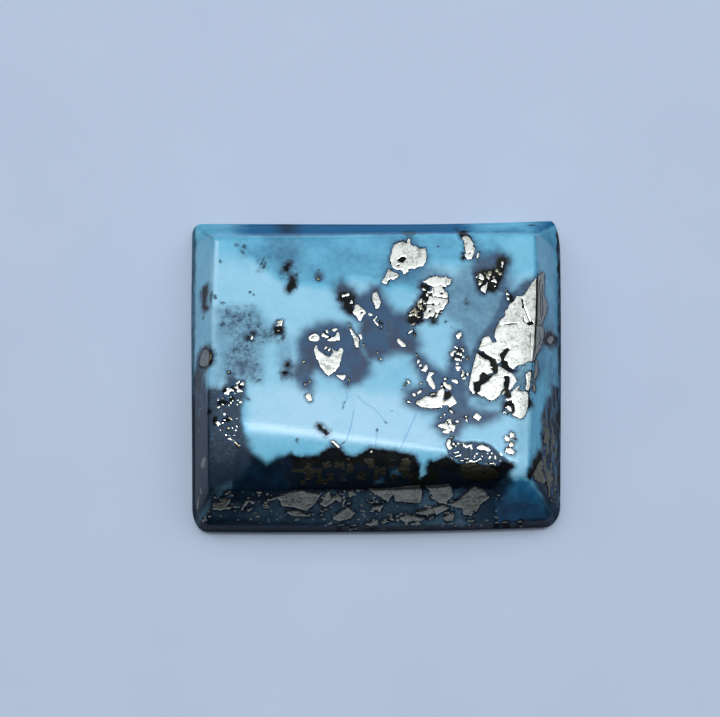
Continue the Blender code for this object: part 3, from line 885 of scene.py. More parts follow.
# Pits in the pyrite, which stay black.
PITS = (
    mm(1.08, 5.22, 1.33, 5.42, 1.48, 5.45, 1.62, 5.38, 1.6, 5.28, 1.42, 5.05),
    mm(1.05, 4.9, 1.25, 5.0, 1.25, 4.92, 1.15, 4.85),
    mm(-0.88, 2.2, -0.8, 2.28, -0.68, 2.22, -0.85, 2.12), mm(2.93, 2.68, 3.0, 2.71, 3.2, 2.62, 3.0, 2.6),
    oval(3.5, 3.32, 0.09, 0.07), oval(2.85, 2.3, 0.06, 0.08),
    mm(3.1, 2.08, 3.15, 2.18, 3.27, 2.22, 3.22, 2.1),
    mm(7.78, 3.1, 7.85, 3.08, 7.93, 2.6, 7.95, 2.5, 7.78, 2.52, 7.82, 2.7, 7.75, 2.98),
    mm(8.1, 1.72, 8.35, 1.8, 8.42, 1.7, 8.4, 1.6, 8.12, 1.52), oval(6.03, -1.43, 0.03),
)

# Dark joints in the pyrite, each with its width in millimetres.
JOINTS = (
    (0.06, mm(2.95, 3.15, 3.8, 3.02)), (0.03, mm(3.33, 4.3, 3.35, 4.05)),
    (0.04, mm(3.78, 4.25, 3.72, 3.95, 3.8, 3.75)), (0.04, mm(6.65, 1.52, 7.1, 1.58, 7.55, 1.6)),
    (0.03, mm(8.28, 1.2, 8.22, 0.4, 8.22, -0.35)), (0.06, mm(7.93, 2.5, 8.08, 2.1, 8.2, 1.8)),
    (0.07, mm(7.85, 1.98, 7.88, 1.8, 8.1, 1.6)),
    (0.05, mm(8.42, 1.65, 8.62, 1.62, 8.92, 1.85, 9.0, 2.05)),
    (0.04, mm(-3.55, 0.75, -3.35, 0.88, -3.2, 0.92)), (0.05, mm(4.95, 5.62, 5.05, 5.7, 5.13, 5.68)),
    (0.05, mm(3.8, -4.1, 3.9, -4.3, 4.0, -4.33)),
    (0.05, mm(8.63, 4.4, 8.6, 3.0, 8.57, 2.0, 8.53, 1.5, 8.5, 0.5, 8.47, 0.0)),
    (0.05, mm(8.8, 4.3, 8.75, 3.9, 8.83, 3.3, 8.78, 2.7, 8.84, 2.2)),
    (0.05, mm(8.95, 4.2, 8.9, 3.6, 8.95, 2.9, 8.9, 2.4)), (0.04, mm(8.7, 1.4, 8.8, 1.0, 8.7, 0.6)),
    (0.05, mm(1.35, -8.0, 1.38, -7.92)),
)

# Black matrix: the dark front of the table, then patches, pits and specks.
MATRIX = (
    mm(-5.0, -6.1, -4.6, -5.85, -4.3, -5.95, -3.5, -5.95, -3.0, -5.85, -2.6, -5.55, -2.3, -5.4,
       -1.95, -5.5, -1.7, -5.85, -1.2, -6.0, -0.7, -5.75, -0.3, -5.5, 0.3, -5.6, 0.9, -5.7, 1.5, -5.82,
       2.0, -5.95, 2.2, -6.5, 2.15, -7.0, 2.35, -7.15, 2.75, -6.8, 2.65, -6.5, 2.85, -6.2, 3.1, -6.28,
       3.7, -5.95, 3.95, -6.05, 4.2, -6.3, 4.9, -6.3, 5.7, -6.42, 6.4, -6.5, 6.75, -6.2, 7.1, -6.3,
       7.2, -6.45, 6.8, -6.85, 6.5, -7.05, 6.2, -7.4, 1.0, -7.5, -4.5, -7.5, -4.9, -6.8),
    mm(2.45, 3.85, 2.8, 3.8, 2.9, 3.5, 2.7, 3.15, 2.85, 3.0, 2.6, 2.6, 2.45, 2.2, 2.5, 1.8, 2.2, 1.62,
       1.8, 1.6, 1.75, 1.8, 1.75, 2.2, 2.1, 2.55, 2.4, 3.1, 2.6, 3.3, 2.4, 3.65),
    mm(-1.95, 3.3, -1.85, 3.4, -1.4, 3.35, -1.2, 3.1, -1.15, 2.8, -1.25, 2.6, -1.2, 2.4, -1.3, 2.2,
       -1.5, 2.3, -1.7, 2.5, -1.68, 2.8, -1.95, 2.98),
    mm(5.35, 4.5, 5.85, 4.72, 6.2, 4.7, 6.4, 4.8, 6.6, 5.35, 6.8, 5.45, 6.98, 5.35, 7.0, 5.1, 6.75, 4.6,
       6.7, 4.3, 6.5, 3.7, 6.3, 3.5, 6.05, 3.55, 5.75, 3.35, 5.55, 3.5, 5.5, 3.75, 5.4, 4.1),
    mm(5.7, -1.18, 5.9, -1.35, 6.2, -1.3, 6.15, -1.42, 5.75, -1.75, 5.55, -1.88, 5.5, -2.15, 5.38, -2.4,
       5.28, -2.35, 5.12, -1.72, 5.5, -1.7, 5.52, -1.35),
    mm(5.4, -0.02, 5.7, -0.05, 6.4, -0.45, 6.45, -0.75, 6.48, -1.15, 6.35, -1.22, 6.12, -1.0, 6.1, -0.6,
       5.8, -0.42, 5.5, -0.18),
    mm(6.58, -0.2, 6.75, 0.05, 7.0, 0.25, 7.12, 0.2, 7.0, -0.1, 6.85, -0.35, 7.0, -0.6, 7.2, -1.0,
       7.4, -1.05, 7.1, -1.15, 6.8, -0.9, 6.65, -0.8, 6.7, -0.55),
    mm(6.78, -1.38, 7.1, -1.38, 7.05, -2.15, 7.15, -2.4, 7.1, -2.55, 6.95, -2.55, 6.85, -2.4, 6.9, -2.2,
       6.78, -1.9),
    mm(6.85, -2.85, 7.2, -2.8, 7.38, -3.3, 7.22, -3.45, 7.2, -3.1, 7.05, -3.0, 6.8, -3.25),
    mm(-3.1, -4.2, -2.95, -4.18, -2.85, -4.35, -2.6, -4.62, -2.72, -4.66, -2.98, -4.42),
    mm(3.6, -2.3, 3.9, -2.25, 3.95, -2.6, 3.7, -2.72, 3.58, -2.6),
    mm(4.15, -0.2, 4.5, -0.3, 4.6, 0.1, 4.3, 0.12, 4.1, -0.45),
    mm(-4.5, 4.25, -4.36, 4.1, -4.36, 3.75, -4.45, 3.65, -4.7, 3.45, -4.8, 3.55, -4.62, 3.9),
    mm(-9.3, 4.2, -9.2, 4.05, -9.15, 3.8, -9.22, 3.1, -9.1, 2.75, -9.26, 2.95, -9.3, 3.2, -9.35, 4.0),
    mm(-9.35, 0.65, -9.05, 0.45, -8.8, -0.1, -8.82, -0.6, -9.1, -0.7, -9.55, -0.1),
    mm(8.8, -5.3, 8.7, -5.35, 8.6, -5.6, 8.3, -6.3, 8.1, -6.8, 8.2, -6.85, 8.45, -6.3, 8.75, -5.7),
    mm(9.0, 1.0, 9.3, 1.02, 9.65, 1.5, 9.68, 1.85, 9.4, 1.8, 9.1, 1.5),
    mm(-5.42, 1.45, -5.05, 1.4, -5.05, 1.05, -5.4, 1.05), mm(7.1, 2.9, 7.35, 2.9, 7.3, 3.2, 7.1, 3.2),
    mm(4.5, 6.95, 4.7, 7.15, 4.85, 6.8, 4.6, 6.7), oval(-4.85, 4.72, 0.1, 0.13), oval(-4.7, 5.0, 0.06),
    oval(4.72, 5.42, 0.06), oval(3.05, 1.72, 0.1, 0.07), oval(-4.87, -1.22, 0.11, 0.08),
    oval(-4.75, -0.75, 0.07), oval(-8.9, -3.35, 0.12, 0.1), oval(-8.6, -3.9, 0.12, 0.2),
    oval(-8.2, -2.88, 0.28, 0.1), oval(-7.95, -3.9, 0.12, 0.09), oval(-7.7, -2.65, 0.1, 0.07),
    oval(-7.9, -2.2, 0.3, 0.12), oval(-7.35, -1.9, 0.2, 0.1), oval(-6.87, 0.8, 0.07, 0.11),
    oval(-6.6, 1.06, 0.05), oval(8.15, -2.85, 0.06, 0.1),
)

# Blue left standing in the matrix.
WINDOWS = (
    mm(0.6, -6.5, 1.3, -6.42, 1.36, -6.95, 0.7, -7.05), mm(-0.2, -7.1, 0.4, -6.9, 0.5, -7.3, -0.1, -7.35),
    mm(-2.0, -6.9, -1.6, -6.8, -1.5, -7.2, -2.0, -7.2),
)

# Small blue-black spots that are only colour.
SPOTS = (
    oval(3.33, 6.0, 0.07), oval(3.73, 1.67, 0.07), oval(4.03, 1.37, 0.05), oval(0.02, -4.4, 0.05, 0.12),
    oval(0.52, -4.05, 0.05), oval(0.8, -3.4, 0.04), oval(1.45, -2.7, 0.05), oval(1.35, -2.2, 0.04),
    oval(-1.72, -2.93, 0.06), oval(-1.77, -3.15, 0.05), oval(4.8, 3.0, 0.06), oval(4.83, 2.72, 0.05),
    oval(-4.22, -4.98, 0.08, 0.15), oval(-4.5, -5.72, 0.07), oval(-8.25, 2.78, 0.1, 0.06),
    oval(-6.75, 3.4, 0.08), oval(-6.6, 3.25, 0.05), oval(-7.55, 6.15, 0.12, 0.08), oval(-7.13, 6.08, 0.1),
    mm(-7.25, 5.85, -7.1, 5.7, -7.2, 5.6), mm(-6.0, 5.35, -6.25, 5.1, -6.3, 4.95, -6.1, 5.0),
    mm(-6.15, 4.7, -5.95, 4.85, -5.9, 5.2, -6.05, 5.0), oval(-8.4, 5.25, 0.08), oval(-4.3, 4.4, 0.1),
    oval(-4.1, 4.5, 0.05), oval(-3.08, 4.65, 0.07, 0.06), oval(-9.35, 2.45, 0.06, 0.1),
    oval(-8.25, 1.57, 0.14, 0.1), oval(-6.8, 2.1, 0.09), oval(-6.78, 1.8, 0.08),
    oval(-7.3, 1.8, 0.11, 0.08), oval(-6.35, 1.4, 0.1, 0.07), oval(-7.6, 1.1, 0.06),
    oval(-7.45, 0.15, 0.2, 0.05), oval(-6.93, 0.35, 0.06), oval(-6.88, 0.1, 0.05), oval(-7.65, 0.0, 0.07),
    oval(-7.3, -0.05, 0.06), oval(-7.6, -0.4, 0.15, 0.05), oval(-6.25, 0.95, 0.07),
    oval(-5.8, 0.8, 0.08, 0.05), oval(-6.08, 0.55, 0.06), oval(-5.6, 1.1, 0.05),
    oval(-6.38, -0.7, 0.1, 0.07), oval(-6.62, -0.75, 0.05), oval(-6.25, -1.58, 0.12, 0.08),
    oval(-6.4, -1.7, 0.06), oval(-7.6, -1.25, 0.07), oval(-7.2, -1.2, 0.06), oval(1.75, 7.0, 0.4, 0.3),
    oval(4.35, 7.5, 0.12, 0.3), oval(8.45, 8.0, 0.25, 0.15), oval(-8.87, 3.25, 0.1, 0.3),
    oval(-8.65, 3.15, 0.1), mm(-1.85, -5.27, -1.6, -5.1, -1.63, -5.06, -1.88, -5.22),
    mm(-5.1, 0.95, -4.9, 0.85, -4.95, 0.7, -5.02, 0.58, -5.12, 0.75),
    mm(-3.12, -4.05, -3.0, -4.2, -3.05, -4.3),
)

# Healed cracks, which show as faint lines.
CRACKS = (
    mm(-1.0, -2.5, -0.75, -2.85, -0.2, -3.2, 0.1, -3.5, 0.52, -4.05),
    mm(2.12, -3.5, 2.0, -3.8, 1.65, -4.6, 1.2, -5.6),
    mm(-1.6, -2.3, -1.55, -2.6, -1.72, -2.95, -1.8, -3.3), mm(-1.2, -3.3, -1.35, -4.2, -1.6, -5.0),
    mm(0.02, -4.5, -0.02, -5.0, -0.1, -5.5),
)

# The colour zones of the stone, each tone's in the order in which they are laid down. Two blue washes also
# paint light and shade, as said at them.
WASHES = {
    Tone.DEPTH: (
        Wash(0.78, 0.4, mm(
            -8.2, 6.9, -7.6, 6.1, -7, 5.5, -6, 4.7, -5, 3.9, -3.6, 3.7, -2.3, 3.6, -1.2, 4.2, 0, 3.9,
            0.8, 3.2, 2.2, 3.4, 2.6, 5, 4.4, 5, 6.9, 5.6, 8.8, 4.8, 8.8, 6.95)),
        Wash(0.28, 0.18, mm(
            -8.8, 6.6, -8.0, 6.2, -7, 5.4, -6, 4.6, -5, 3.8, -2.5, 3.4, -2.3, 2.6, -4, 1.6, -4.5, 0.8,
            -6.2, 2.4, -8, 3, -8.8, 3.5)),
        Wash(0.05, 0.5, mm(
            -6.8, -2, -3.9, -2.0, -1.8, -2.4, 0.3, -2.2, 1.4, -2.4, 1.8, -2.9, 2.2, -3.5, 3.5, -4.8,
            3.6, -5.8, 0, -5.8, -5.6, -6.3, -6.8, -5)),
        Wash(0.5, 0.5, mm(-0.6, -0.9, 1.8, -0.6, 2.0, -1.9, 1.2, -2.4, -0.4, -2.2)),
        Wash(0.62, 0.35, mm(
            -7.2, -4.3, -5.5, -4.5, -4, -4.7, -2, -5.0, 0, -5.2, 3.7, -5.6, 3.7, -6.6, -7.4, -6.8)),
        Wash(0.62, 0.4, mm(7.2, 4.2, 8.6, 5, 8.6, 6.8, 6.5, 6.8, 6.9, 5.6)),
        Wash(0.3, 0.3, mm(4.6, -4.2, 7.6, -3.9, 8.0, -6.9, 7.2, -6.9, 6.6, -5.3, 4.6, -5.0)),
        # Deepest blue along the back bevel and girdle: partly the stone's own colour, partly painted shade
        # for the back, which lies in less light.
        Wash(1.08, 0.16, mm(-8.8, 6.78, 8.65, 6.9, 10.2, 9.2, -10.2, 9.2)),
        Wash(0.78, 1.3, mm(-11.0, 5.6, -7.3, 5.6, -7.3, 10.8, -11.0, 10.8)),
        Wash(0.7, 1.3, mm(5.2, 7.0, 8.4, 7.0, 9.6, 10.8, 5.2, 10.8)),
        Wash(0.5, 0.3, oval(1.3, 3.0, 0.7, 0.7)),
        Wash(0.82, 0.1, mm(7.98, -6.8, 8.2, -4, 8.5, 6.85, 10.2, 9.2, 10.2, -8.9)),
        Wash(0.62, 0.1, mm(-8.95, 6.7, -8.9, -7.4, -10.2, -9, -10.2, 9)),
        # Painted highlight: a pale strip along the table's rounded left edge, where it catches the light.
        Wash(0.1, 0.08, mm(-8.72, 6.5, -8.5, 6.4, -8.55, 2.0, -8.68, -1.0, -8.8, -1.0, -8.8, 2.0)),
        Wash(0.9, 0.15, mm(6.2, -7.1, 8.1, -6.95, 10.2, -9, 6.2, -9)),
        Wash(0.8, 0.45, mm(-7.9, -2.0, -7.1, -2.0, -7.0, -3.5, -6.9, -5.4, -7.9, -5.4)),
    ),
    Tone.HAZE: (
        Wash(1.0, 0.5, mm(
            -4.4, -1.4, -4.2, -0.5, -4.3, 0.5, -3.9, 1.2, -3.2, 1.6, -2.5, 1.7, -1.6, 1.6, -1.3, 1.3,
            -0.6, 0, -0.2, -0.6, -0.3, -1.3, -0.8, -1.8, -1.5, -2.1, -2.0, -1.6, -2.6, -1.4, -3.2, -1.1,
            -3.4, -1.5, -3.4, -2.3, -4.0, -2.2)),
        Wash(1.05, 0.55, mm(
            -2.3, 3.8, -1.9, 4.1, -1.3, 3.7, -1.0, 3.2, -0.5, 3.5, -0.3, 3.8, 0.2, 3.8, 0.4, 3.3,
            0.6, 2.8, 1.0, 2.3, 1.8, 2.2, 1.9, 1.6, 2.2, 1.0, 2.4, 0.3, 2.1, -0.3, 1.0, -0.1, 0.2, -0.5,
            -0.5, -0.5, -0.9, 0.3, -1.0, 1.0, -0.9, 1.6, -1.3, 1.9, -1.8, 2.4, -2.1, 3.0)),
        Wash(0.88, 0.45, mm(
            2.0, 0.1, 2.6, -0.2, 3.1, -0.8, 3.6, -1.1, 3.8, -0.6, 3.9, 0, 4.0, 0.8, 4.2, 1.3, 4.7, 1.2,
            4.9, 0.5, 5.2, -0.4, 4.9, -1.2, 5.0, -3.0, 5.5, -3.2, 6.7, -3.3, 6.6, -3.8, 5.6, -4.2,
            4.9, -4.2, 4.6, -4.4, 4.4, -4.9, 3.5, -4.9, 2.9, -4.2, 3.2, -3.6, 1.9, -3.3, 1.4, -3.0,
            1.4, -2.2, 2.4, -1.8, 2.0, -1.0, 1.8, -0.6)),
        Wash(0.55, 0.55, mm(
            0.0, 4.2, 0.4, 5.2, 0.8, 6.6, 2.2, 6.5, 2.8, 5.2, 4.0, 4.4, 4.9, 5.1, 5.2, 6.6, 5.7, 6.2,
            5.9, 5.4, 7.2, 5.7, 7.5, 4.2, 7.8, 3.0, 7.2, 1.2, 6.4, 0.2, 5.6, -0.8, 4.0, -0.5, 4.1, 1.0,
            4.4, 1.3, 3.6, 1.9, 1.9, 1.5, 2.2, 2.2, 2.3, 3.3, 1.8, 3.9, 1.0, 3.9)),
        Wash(0.8, 0.45, mm(
            5.2, 3.4, 4.9, 4.8, 5.2, 5.6, 6.5, 5.9, 7.3, 5.6, 7.2, 3.7, 7.0, 2.8, 6.6, 3.3)),
        Wash(0.85, 0.35, mm(
            6.0, -2.2, 4.8, -2.8, 4.7, -0.8, 5.3, 0.9, 6.0, 1.7, 6.4, 2.6, 6.6, 3.4, 7.3, 3.6, 8.0, 4.2,
            8.6, 4.4, 8.0, 2.0, 7.0, 0.0, 6.5, -1.5)),
        Wash(0.45, 0.5, mm(5.0, -2.3, 7.6, -1.0, 8.6, -0.4, 8.4, -2.2, 7.6, -3.4, 6.6, -3.2, 5.2, -3.6)),
        Wash(0.44, 0.5, mm(-8.8, 2.6, -6.5, 2.6, -5.2, 1.1, -5.9, 0.2, -6.1, -1.8, -8.6, -1.7)),
        Wash(0.42, 0.5, mm(-6.2, 6.8, -4.0, 6.8, -4.1, 5.0, -5.2, 4.4)),
        Wash(0.3, 0.2, mm(-8.9, 2.0, -8.3, 2.0, -8.1, -2.2, -9.0, -2.2)),
        Wash(0.35, 0.4, mm(-5.5, 0.9, -4.4, 0.9, -4.2, -2.0, -5.2, -1.6)),
        Wash(0.38, 0.4, mm(8.4, 2.5, 8.4, -1.5, 10.2, -1.5, 10.2, 2.5)),
        Wash(0.22, 0.3, mm(7.3, -3.7, 8.1, -3.7, 7.9, -5.8, 7.3, -5.8)),
        Wash(0.14, 0.4, mm(5.6, 7.0, 5.6, 5.8, 7.0, 5.8, 7.0, 7.0)),
        Wash(0.8, 0.55, mm(5.0, -7.3, 6.8, -7.5, 8.6, -7.7, 10.5, -8.4, 10.5, -9.6, 5.0, -9.6)),
    ),
    Tone.SLATE: (
        Wash(0.92, 0.45, mm(
            -9.3, -1.9, -8.3, -2.0, -8.1, -1.7, -7.9, -1.2, -7.1, -1.6, -6.9, -2.5, -7.1, -3.1,
            -7.1, -3.9, -6.9, -4.6, -6.7, -5.4, -6.8, -6.2, -7.3, -7.0, -9.3, -7.8)),
        Wash(0.48, 0.45, mm(-8, -0.2, -6.5, -0.1, -6.2, -0.8, -6.2, -1.7, -7.8, -1.6)),
        Wash(0.62, 0.35, mm(-5.1, -0.7, -4.0, -0.4, -3.6, -1.0, -4.1, -1.7, -5.0, -1.6)),
        Wash(0.85, 0.2, mm(
            3.8, -5.9, 3.65, -5.2, 3.85, -4.85, 4.5, -5.0, 5.7, -5.05, 6.25, -5.3, 6.6, -5.7, 7.1, -6.1,
            6.9, -6.4, 4.5, -6.3)),
        Wash(0.95, 0.3, mm(
            -10.3, -1.6, -10.0, -0.9, -9.85, -0.2, -9.7, 0.4, -9.5, 0.9, -9.35, 0.2, -9.2, -0.8,
            -9.1, -1.7, -8.8, -2.2, -8.5, -1.9, -8.6, -7.6, -10.3, -9.2)),
        Wash(0.6, 0.1, mm(-10.2, 9, -9.8, 8.9, -9.75, -2, -10.2, -2)),
        Wash(0.95, 0.2, mm(
            8.8, -4.9, 8.78, -4.2, 8.85, -3.2, 8.95, -2.5, 9.2, -2.0, 9.4, -1.6, 9.4, -1.0, 10.2, -0.8,
            10.2, -9.2, 8.6, -7.2, 8.2, -6.7, 8.45, -5.9, 8.7, -5.35)),
        Wash(0.85, 0.08, mm(9.82, 8.8, 9.82, -1.2, 10.2, -1.2, 10.2, 9)),
        Wash(0.5, 0.08, mm(
            7.3, -1.0, 7.7, -0.75, 8.4, -0.55, 8.42, -0.75, 8.2, -1.05, 8.0, -1.15, 7.95, -1.3,
            7.95, -1.85, 7.9, -2.1, 7.65, -2.1, 7.35, -1.25)),
        Wash(0.6, 0.15, oval(4.8, 2.8, 0.26, 0.2)),
        Wash(0.65, 0.15, oval(-3.1, 4.3, 0.3, 0.34)),
        Wash(0.6, 0.15, oval(0.66, 1.45, 0.2, 0.6)),
        Wash(0.35, 0.3, oval(-4.75, 4.4, 0.5, 0.6)),
    ),
    Tone.NAVY: (
        Wash(0.48, 0.45, mm(-8.6, -2.2, -7.0, -3.2, -6.8, -5.0, -8.6, -5.2)),
        Wash(1.1, 0.36, mm(
            -7.4, -5.2, -6.8, -5.4, -6.3, -5.8, -5.85, -6.15, -5.3, -5.85, -4.6, -5.7, -4.0, -8.0,
            -8.0, -8.2)),
        Wash(0.75, 0.25, mm(-4.8, -6.4, -2.0, -6.2, 0, -6.3, 1.9, -6.4, 2.0, -7.5, -4.8, -7.6)),
        Wash(0.75, 0.25, mm(3.2, -6.5, 6.6, -6.8, 6.6, -7.4, 3.2, -7.5)),
        Wash(0.75, 0.4, mm(-9.4, -6.2, -7.4, -6.0, -7.4, -8.2, -9.6, -8.2)),
        Wash(0.85, 0.3, mm(5.9, -6.7, 6.9, -6.6, 7.3, -7.2, 6.6, -7.9, 5.9, -7.9)),
        Wash(0.72, 0.12, mm(
            -10.2, -9.3, -9.5, -8.2, -8.95, -7.4, -4.5, -7.48, 0, -7.42, 4, -7.15, 6.2, -7.0, 6.6, -9.3)),
        Wash(0.84, 0.6, mm(-10.2, -9.3, -9.5, -8.2, -8.95, -7.4, 2.5, -7.3, 3.0, -9.3)),
        Wash(0.25, 0.5, mm(5.6, -7.8, 8.6, -8.1, 10.3, -8.0, 10.3, -9.4, 5.6, -9.4)),
        Wash(1.15, 0.14, mm(-10.3, -8.55, 0, -8.82, 6, -8.74, 10.3, -8.45, 10.3, -9.5, -10.3, -9.5)),
        Wash(0.95, 0.45, mm(-9.2, -8.2, -6.0, -8.35, -5.2, -9.3, -10.2, -9.3)),
        Wash(0.7, 0.35, mm(8.3, -7.1, 8.9, -6.8, 10.3, -8.2, 10.3, -9.4, 9.4, -9.0)),
        Wash(0.75, 0.8, mm(-5.9, 9.6, -4.0, 9.6, -4.3, 6.9, -5.2, 6.9)),
        Wash(0.85, 0.4, mm(
            -10.3, -3.0, -10.0, -1.9, -9.8, -1.4, -9.6, -2.6, -9.3, -3.2, -9.1, -2.2, -8.9, -2.4,
            -8.9, -7.6, -10.3, -9.2)),
        Wash(0.6, 0.1, mm(-9.4, 9.3, -9.4, 8.72, 0, 8.72, 9.2, 8.95, 9.4, 9.4)),
        Wash(0.4, 0.3, mm(-3.2, 9.2, -2.8, 8.4, 0, 8.5, 0, 9.2)),
    ),
    Tone.FRECKLE: (
        Wash(1.0, 0.35, mm(
            -8.4, 2.3, -7.8, 2.6, -6.5, 2.7, -6.3, 1.8, -5.9, 1.3, -5.0, 1.0, -4.9, 0.6, -6.0, 0.5,
            -6.4, 0.4, -6.3, -0.1, -6.1, -1.7, -8.0, -1.7, -8.1, -0.2, -7.7, 0.3, -7.6, 0.9, -8.4, 1.5)),
        Wash(0.9, 0.2, mm(-5.3, 4.9, -4.7, 5.3, -4.1, 4.7, -4.3, 4.0, -5.1, 4.2)),
        Wash(0.9, 0.2, mm(-7.7, 6.4, -7.0, 6.4, -6.8, 5.6, -7.3, 5.4)),
        Wash(0.9, 0.2, mm(-6.6, 5.4, -5.7, 5.5, -5.7, 4.6, -6.4, 4.5)),
        Wash(1.0, 0.3, mm(-5.1, -0.7, -4.0, -0.4, -3.6, -1.0, -4.1, -1.7, -5.0, -1.6)),
    ),
    Tone.STREAK: (
        Wash(1.0, 0.1, mm(-10.4, 9.4, -8.9, 6.9, -8.95, -7.4, -10.4, -9.4)),
        Wash(1.0, 0.1, mm(8.65, 6.9, 8.1, -6.8, 10.4, -9.4, 10.4, 9.4)),
    ),
}

# Areas strewn with fine pyrite too small to outline.
STREWN = (
    Strewn(Polish.DULL, 0.18, 0.3, 1.0, mm(5.4, 4.5, 6.5, 4.8, 6.9, 5.4, 6.7, 4.2, 6.0, 3.5, 5.5, 3.8)),
    Strewn(Polish.DULL, 0.15, 0.35, 1.0, mm(1.75, 2.4, 2.35, 3.1, 2.6, 2.9, 2.5, 1.8, 1.8, 1.65)),
    Strewn(Polish.CRUMBLY, 0.13, 0.62, 1.0, mm(
        -8.5, -2.3, -7.0, -1.6, -7.2, -3.2, -7.6, -5.2, -8.2, -4.6, -8.7, -3.8)),
    Strewn(Polish.DULL, 0.1, 0.18, 8.0, mm(
        8.8, -4.9, 8.85, -3.6, 9.1, -2.6, 9.6, -3.0, 9.75, -7.8, 8.9, -7.4, 8.5, -6.3)),
    Strewn(Polish.DULL, 0.13, 0.55, 5.0, mm(-9.6, -2.6, -9.0, -2.6, -9.0, -7.0, -9.6, -8.2)),
    # The fine grains of the dark front are painted nearly black, partly as painted shade.
    Strewn(Polish.BLACK, 0.3, 0.3, 1.0, mm(-4.6, -6.1, -2.6, -5.9, 1.8, -6.1, 2.0, -7.2, -4.5, -7.3)),
    # Fine grains on the front bevel and the front of the table get the worn polish, partly as painted shade.
    Strewn(Polish.WORN_AND_SHADED, 0.16, 0.58, 1.0, mm(
        -9.3, -8.7, -8.8, -7.6, -1.0, -7.5, 6.4, -7.5, 7.9, -8.8, 0, -8.95)),
    Strewn(Polish.WORN_AND_SHADED, 0.14, 0.52, 1.0, mm(3.7, -5.1, 6.2, -5.3, 7.0, -6.1, 6.3, -6.4, 4.0, -6.2)),
    Strewn(Polish.CRUMBLY, 0.15, 0.45, 1.0, mm(3.9, 0.3, 4.7, 0.3, 4.9, -0.6, 4.6, -1.6, 4.2, -0.9)),
)


def quads(numbers: Array, ringed: bool) -> Array:
    """The faces between the vertices of a grid.

    Args:
        numbers: The vertices' numbers, laid out as the grid is.
        ringed: Whether the grid's second direction runs round and closes.

    Returns:
        Four vertex numbers for each face, facing outward.
    """
    if ringed:
        after = np.roll(numbers, -1, axis=1)
        corners = (numbers[1:], after[1:], after[:-1], numbers[:-1])
    else:
        corners = (numbers[:-1, :-1], numbers[1:, :-1], numbers[1:, 1:], numbers[:-1, 1:])
    return np.stack(corners, axis=-1).reshape(-1, 4)


def put_mesh(name: str, points: Array, faces: list[list[int]], extras: dict[str, Array]) -> Object:
    """Makes an object of a mesh, shaded smooth except over sharp edges.

    Args:
        name: The object's name.
        points: The vertices' places.
        faces: The vertex numbers of each face.
        extras: Values for each vertex, by the name of their attribute.

    Returns:
        The object, linked to the scene.
    """
    mesh = bpy.data.meshes.new(name)
    mesh.from_pydata(points, [], faces)
    for key, values in extras.items():
        mesh.attributes.new(key, "FLOAT", "POINT").data.foreach_set("value", values.astype(np.float32))
    mesh.shade_smooth()
    mesh.set_sharp_from_angle(angle=SHARP_ANGLE)
    mesh.update()
    made = bpy.data.objects.new(name, mesh)
    bpy.context.scene.collection.objects.link(made)
    return made


def cut(depth: Array, triangles: Array) -> tuple[Array, Array, Array]:
    """Cuts a mesh of triangles along the line where a depth passes through zero, and keeps what is above.

    A triangle with one kept corner becomes a smaller one, and one with two becomes two. Each new vertex is
    known by a pair of old ones: a kept one twice, or both ends of an edge that is crossed.

    Args:
        depth: The depth at each vertex.
        triangles: The vertex numbers of each triangle.

    Returns:
        Each new vertex's pair of old ones, its share of the way between them, and the new triangles.
    """
    inside = depth > 0
    count = inside[triangles].sum(axis=1)
    turned = []
    for kept in (1, 2):
        some = triangles[count == kept]
        alone = inside[some] if kept == 1 else ~inside[some]
        turn = (alone.argmax(axis=1)[:, None] + np.arange(3)) % 3
        turned.append(np.take_along_axis(some, turn, axis=1).T)
    (a, b, c), (d, e, f) = turned
    whole = triangles[count == 3]
    pieces = (
        (whole, whole),
        (np.column_stack((a, a, a)), np.column_stack((a, b, c))),
        (np.column_stack((d, e, f)), np.column_stack((e, e, f))),
        (np.column_stack((d, f, d)), np.column_stack((e, f, f))),
    )
    first = np.concatenate([low for low, high in pieces])
    second = np.concatenate([high for low, high in pieces])
    number = len(depth)
    keys = np.minimum(first, second) * number + np.maximum(first, second)
    keys, triangles = np.unique(keys, return_inverse=True)
    pairs = np.column_stack((keys // number, keys % number))
    drop = depth[pairs[:, 0]] - depth[pairs[:, 1]]
    share = np.where(pairs[:, 0] == pairs[:, 1], 0, depth[pairs[:, 0]] / np.where(drop == 0, 1, drop))
    return pairs, share, triangles.reshape(-1, 3)


class Node(Enum):
    """The kinds of node: type, settings, the inputs that are given, and the output that is read."""

    PLACE = ("TexCoord", {}, (), "Object")
    PAINTED = ("Attribute", {}, (), "Fac")
    SCALED = ("Mapping", {}, ("Vector", "Scale"), "Vector")
    NOISE = ("TexNoise", {}, ("Vector", "Scale", "Detail"), "Fac")
    ADD = ("Math", {"operation": "ADD"}, (0, 1), 0)
    MULTIPLY = ("Math", {"operation": "MULTIPLY"}, (0, 1), 0)
    MULTIPLY_ADD = ("Math", {"operation": "MULTIPLY_ADD"}, (0, 1, 2), 0)
    MAXIMUM = ("Math", {"operation": "MAXIMUM"}, (0, 1), 0)
    ABSOLUTE = ("Math", {"operation": "ABSOLUTE"}, (0,), 0)
    STEP = ("MapRange", {"interpolation_type": "SMOOTHSTEP"}, ("Value", "From Min", "From Max", "To Max"), 0)
    MIX = ("Mix", {"data_type": "RGBA"}, (0, 6, 7), 2)
    RAMP = ("ValToRGB", {}, (0,), "Color")
    PARTS = ("SeparateXYZ", {}, (0,), 0)
    BUMP = ("Bump", {}, ("Strength", "Distance", "Height"), "Normal")


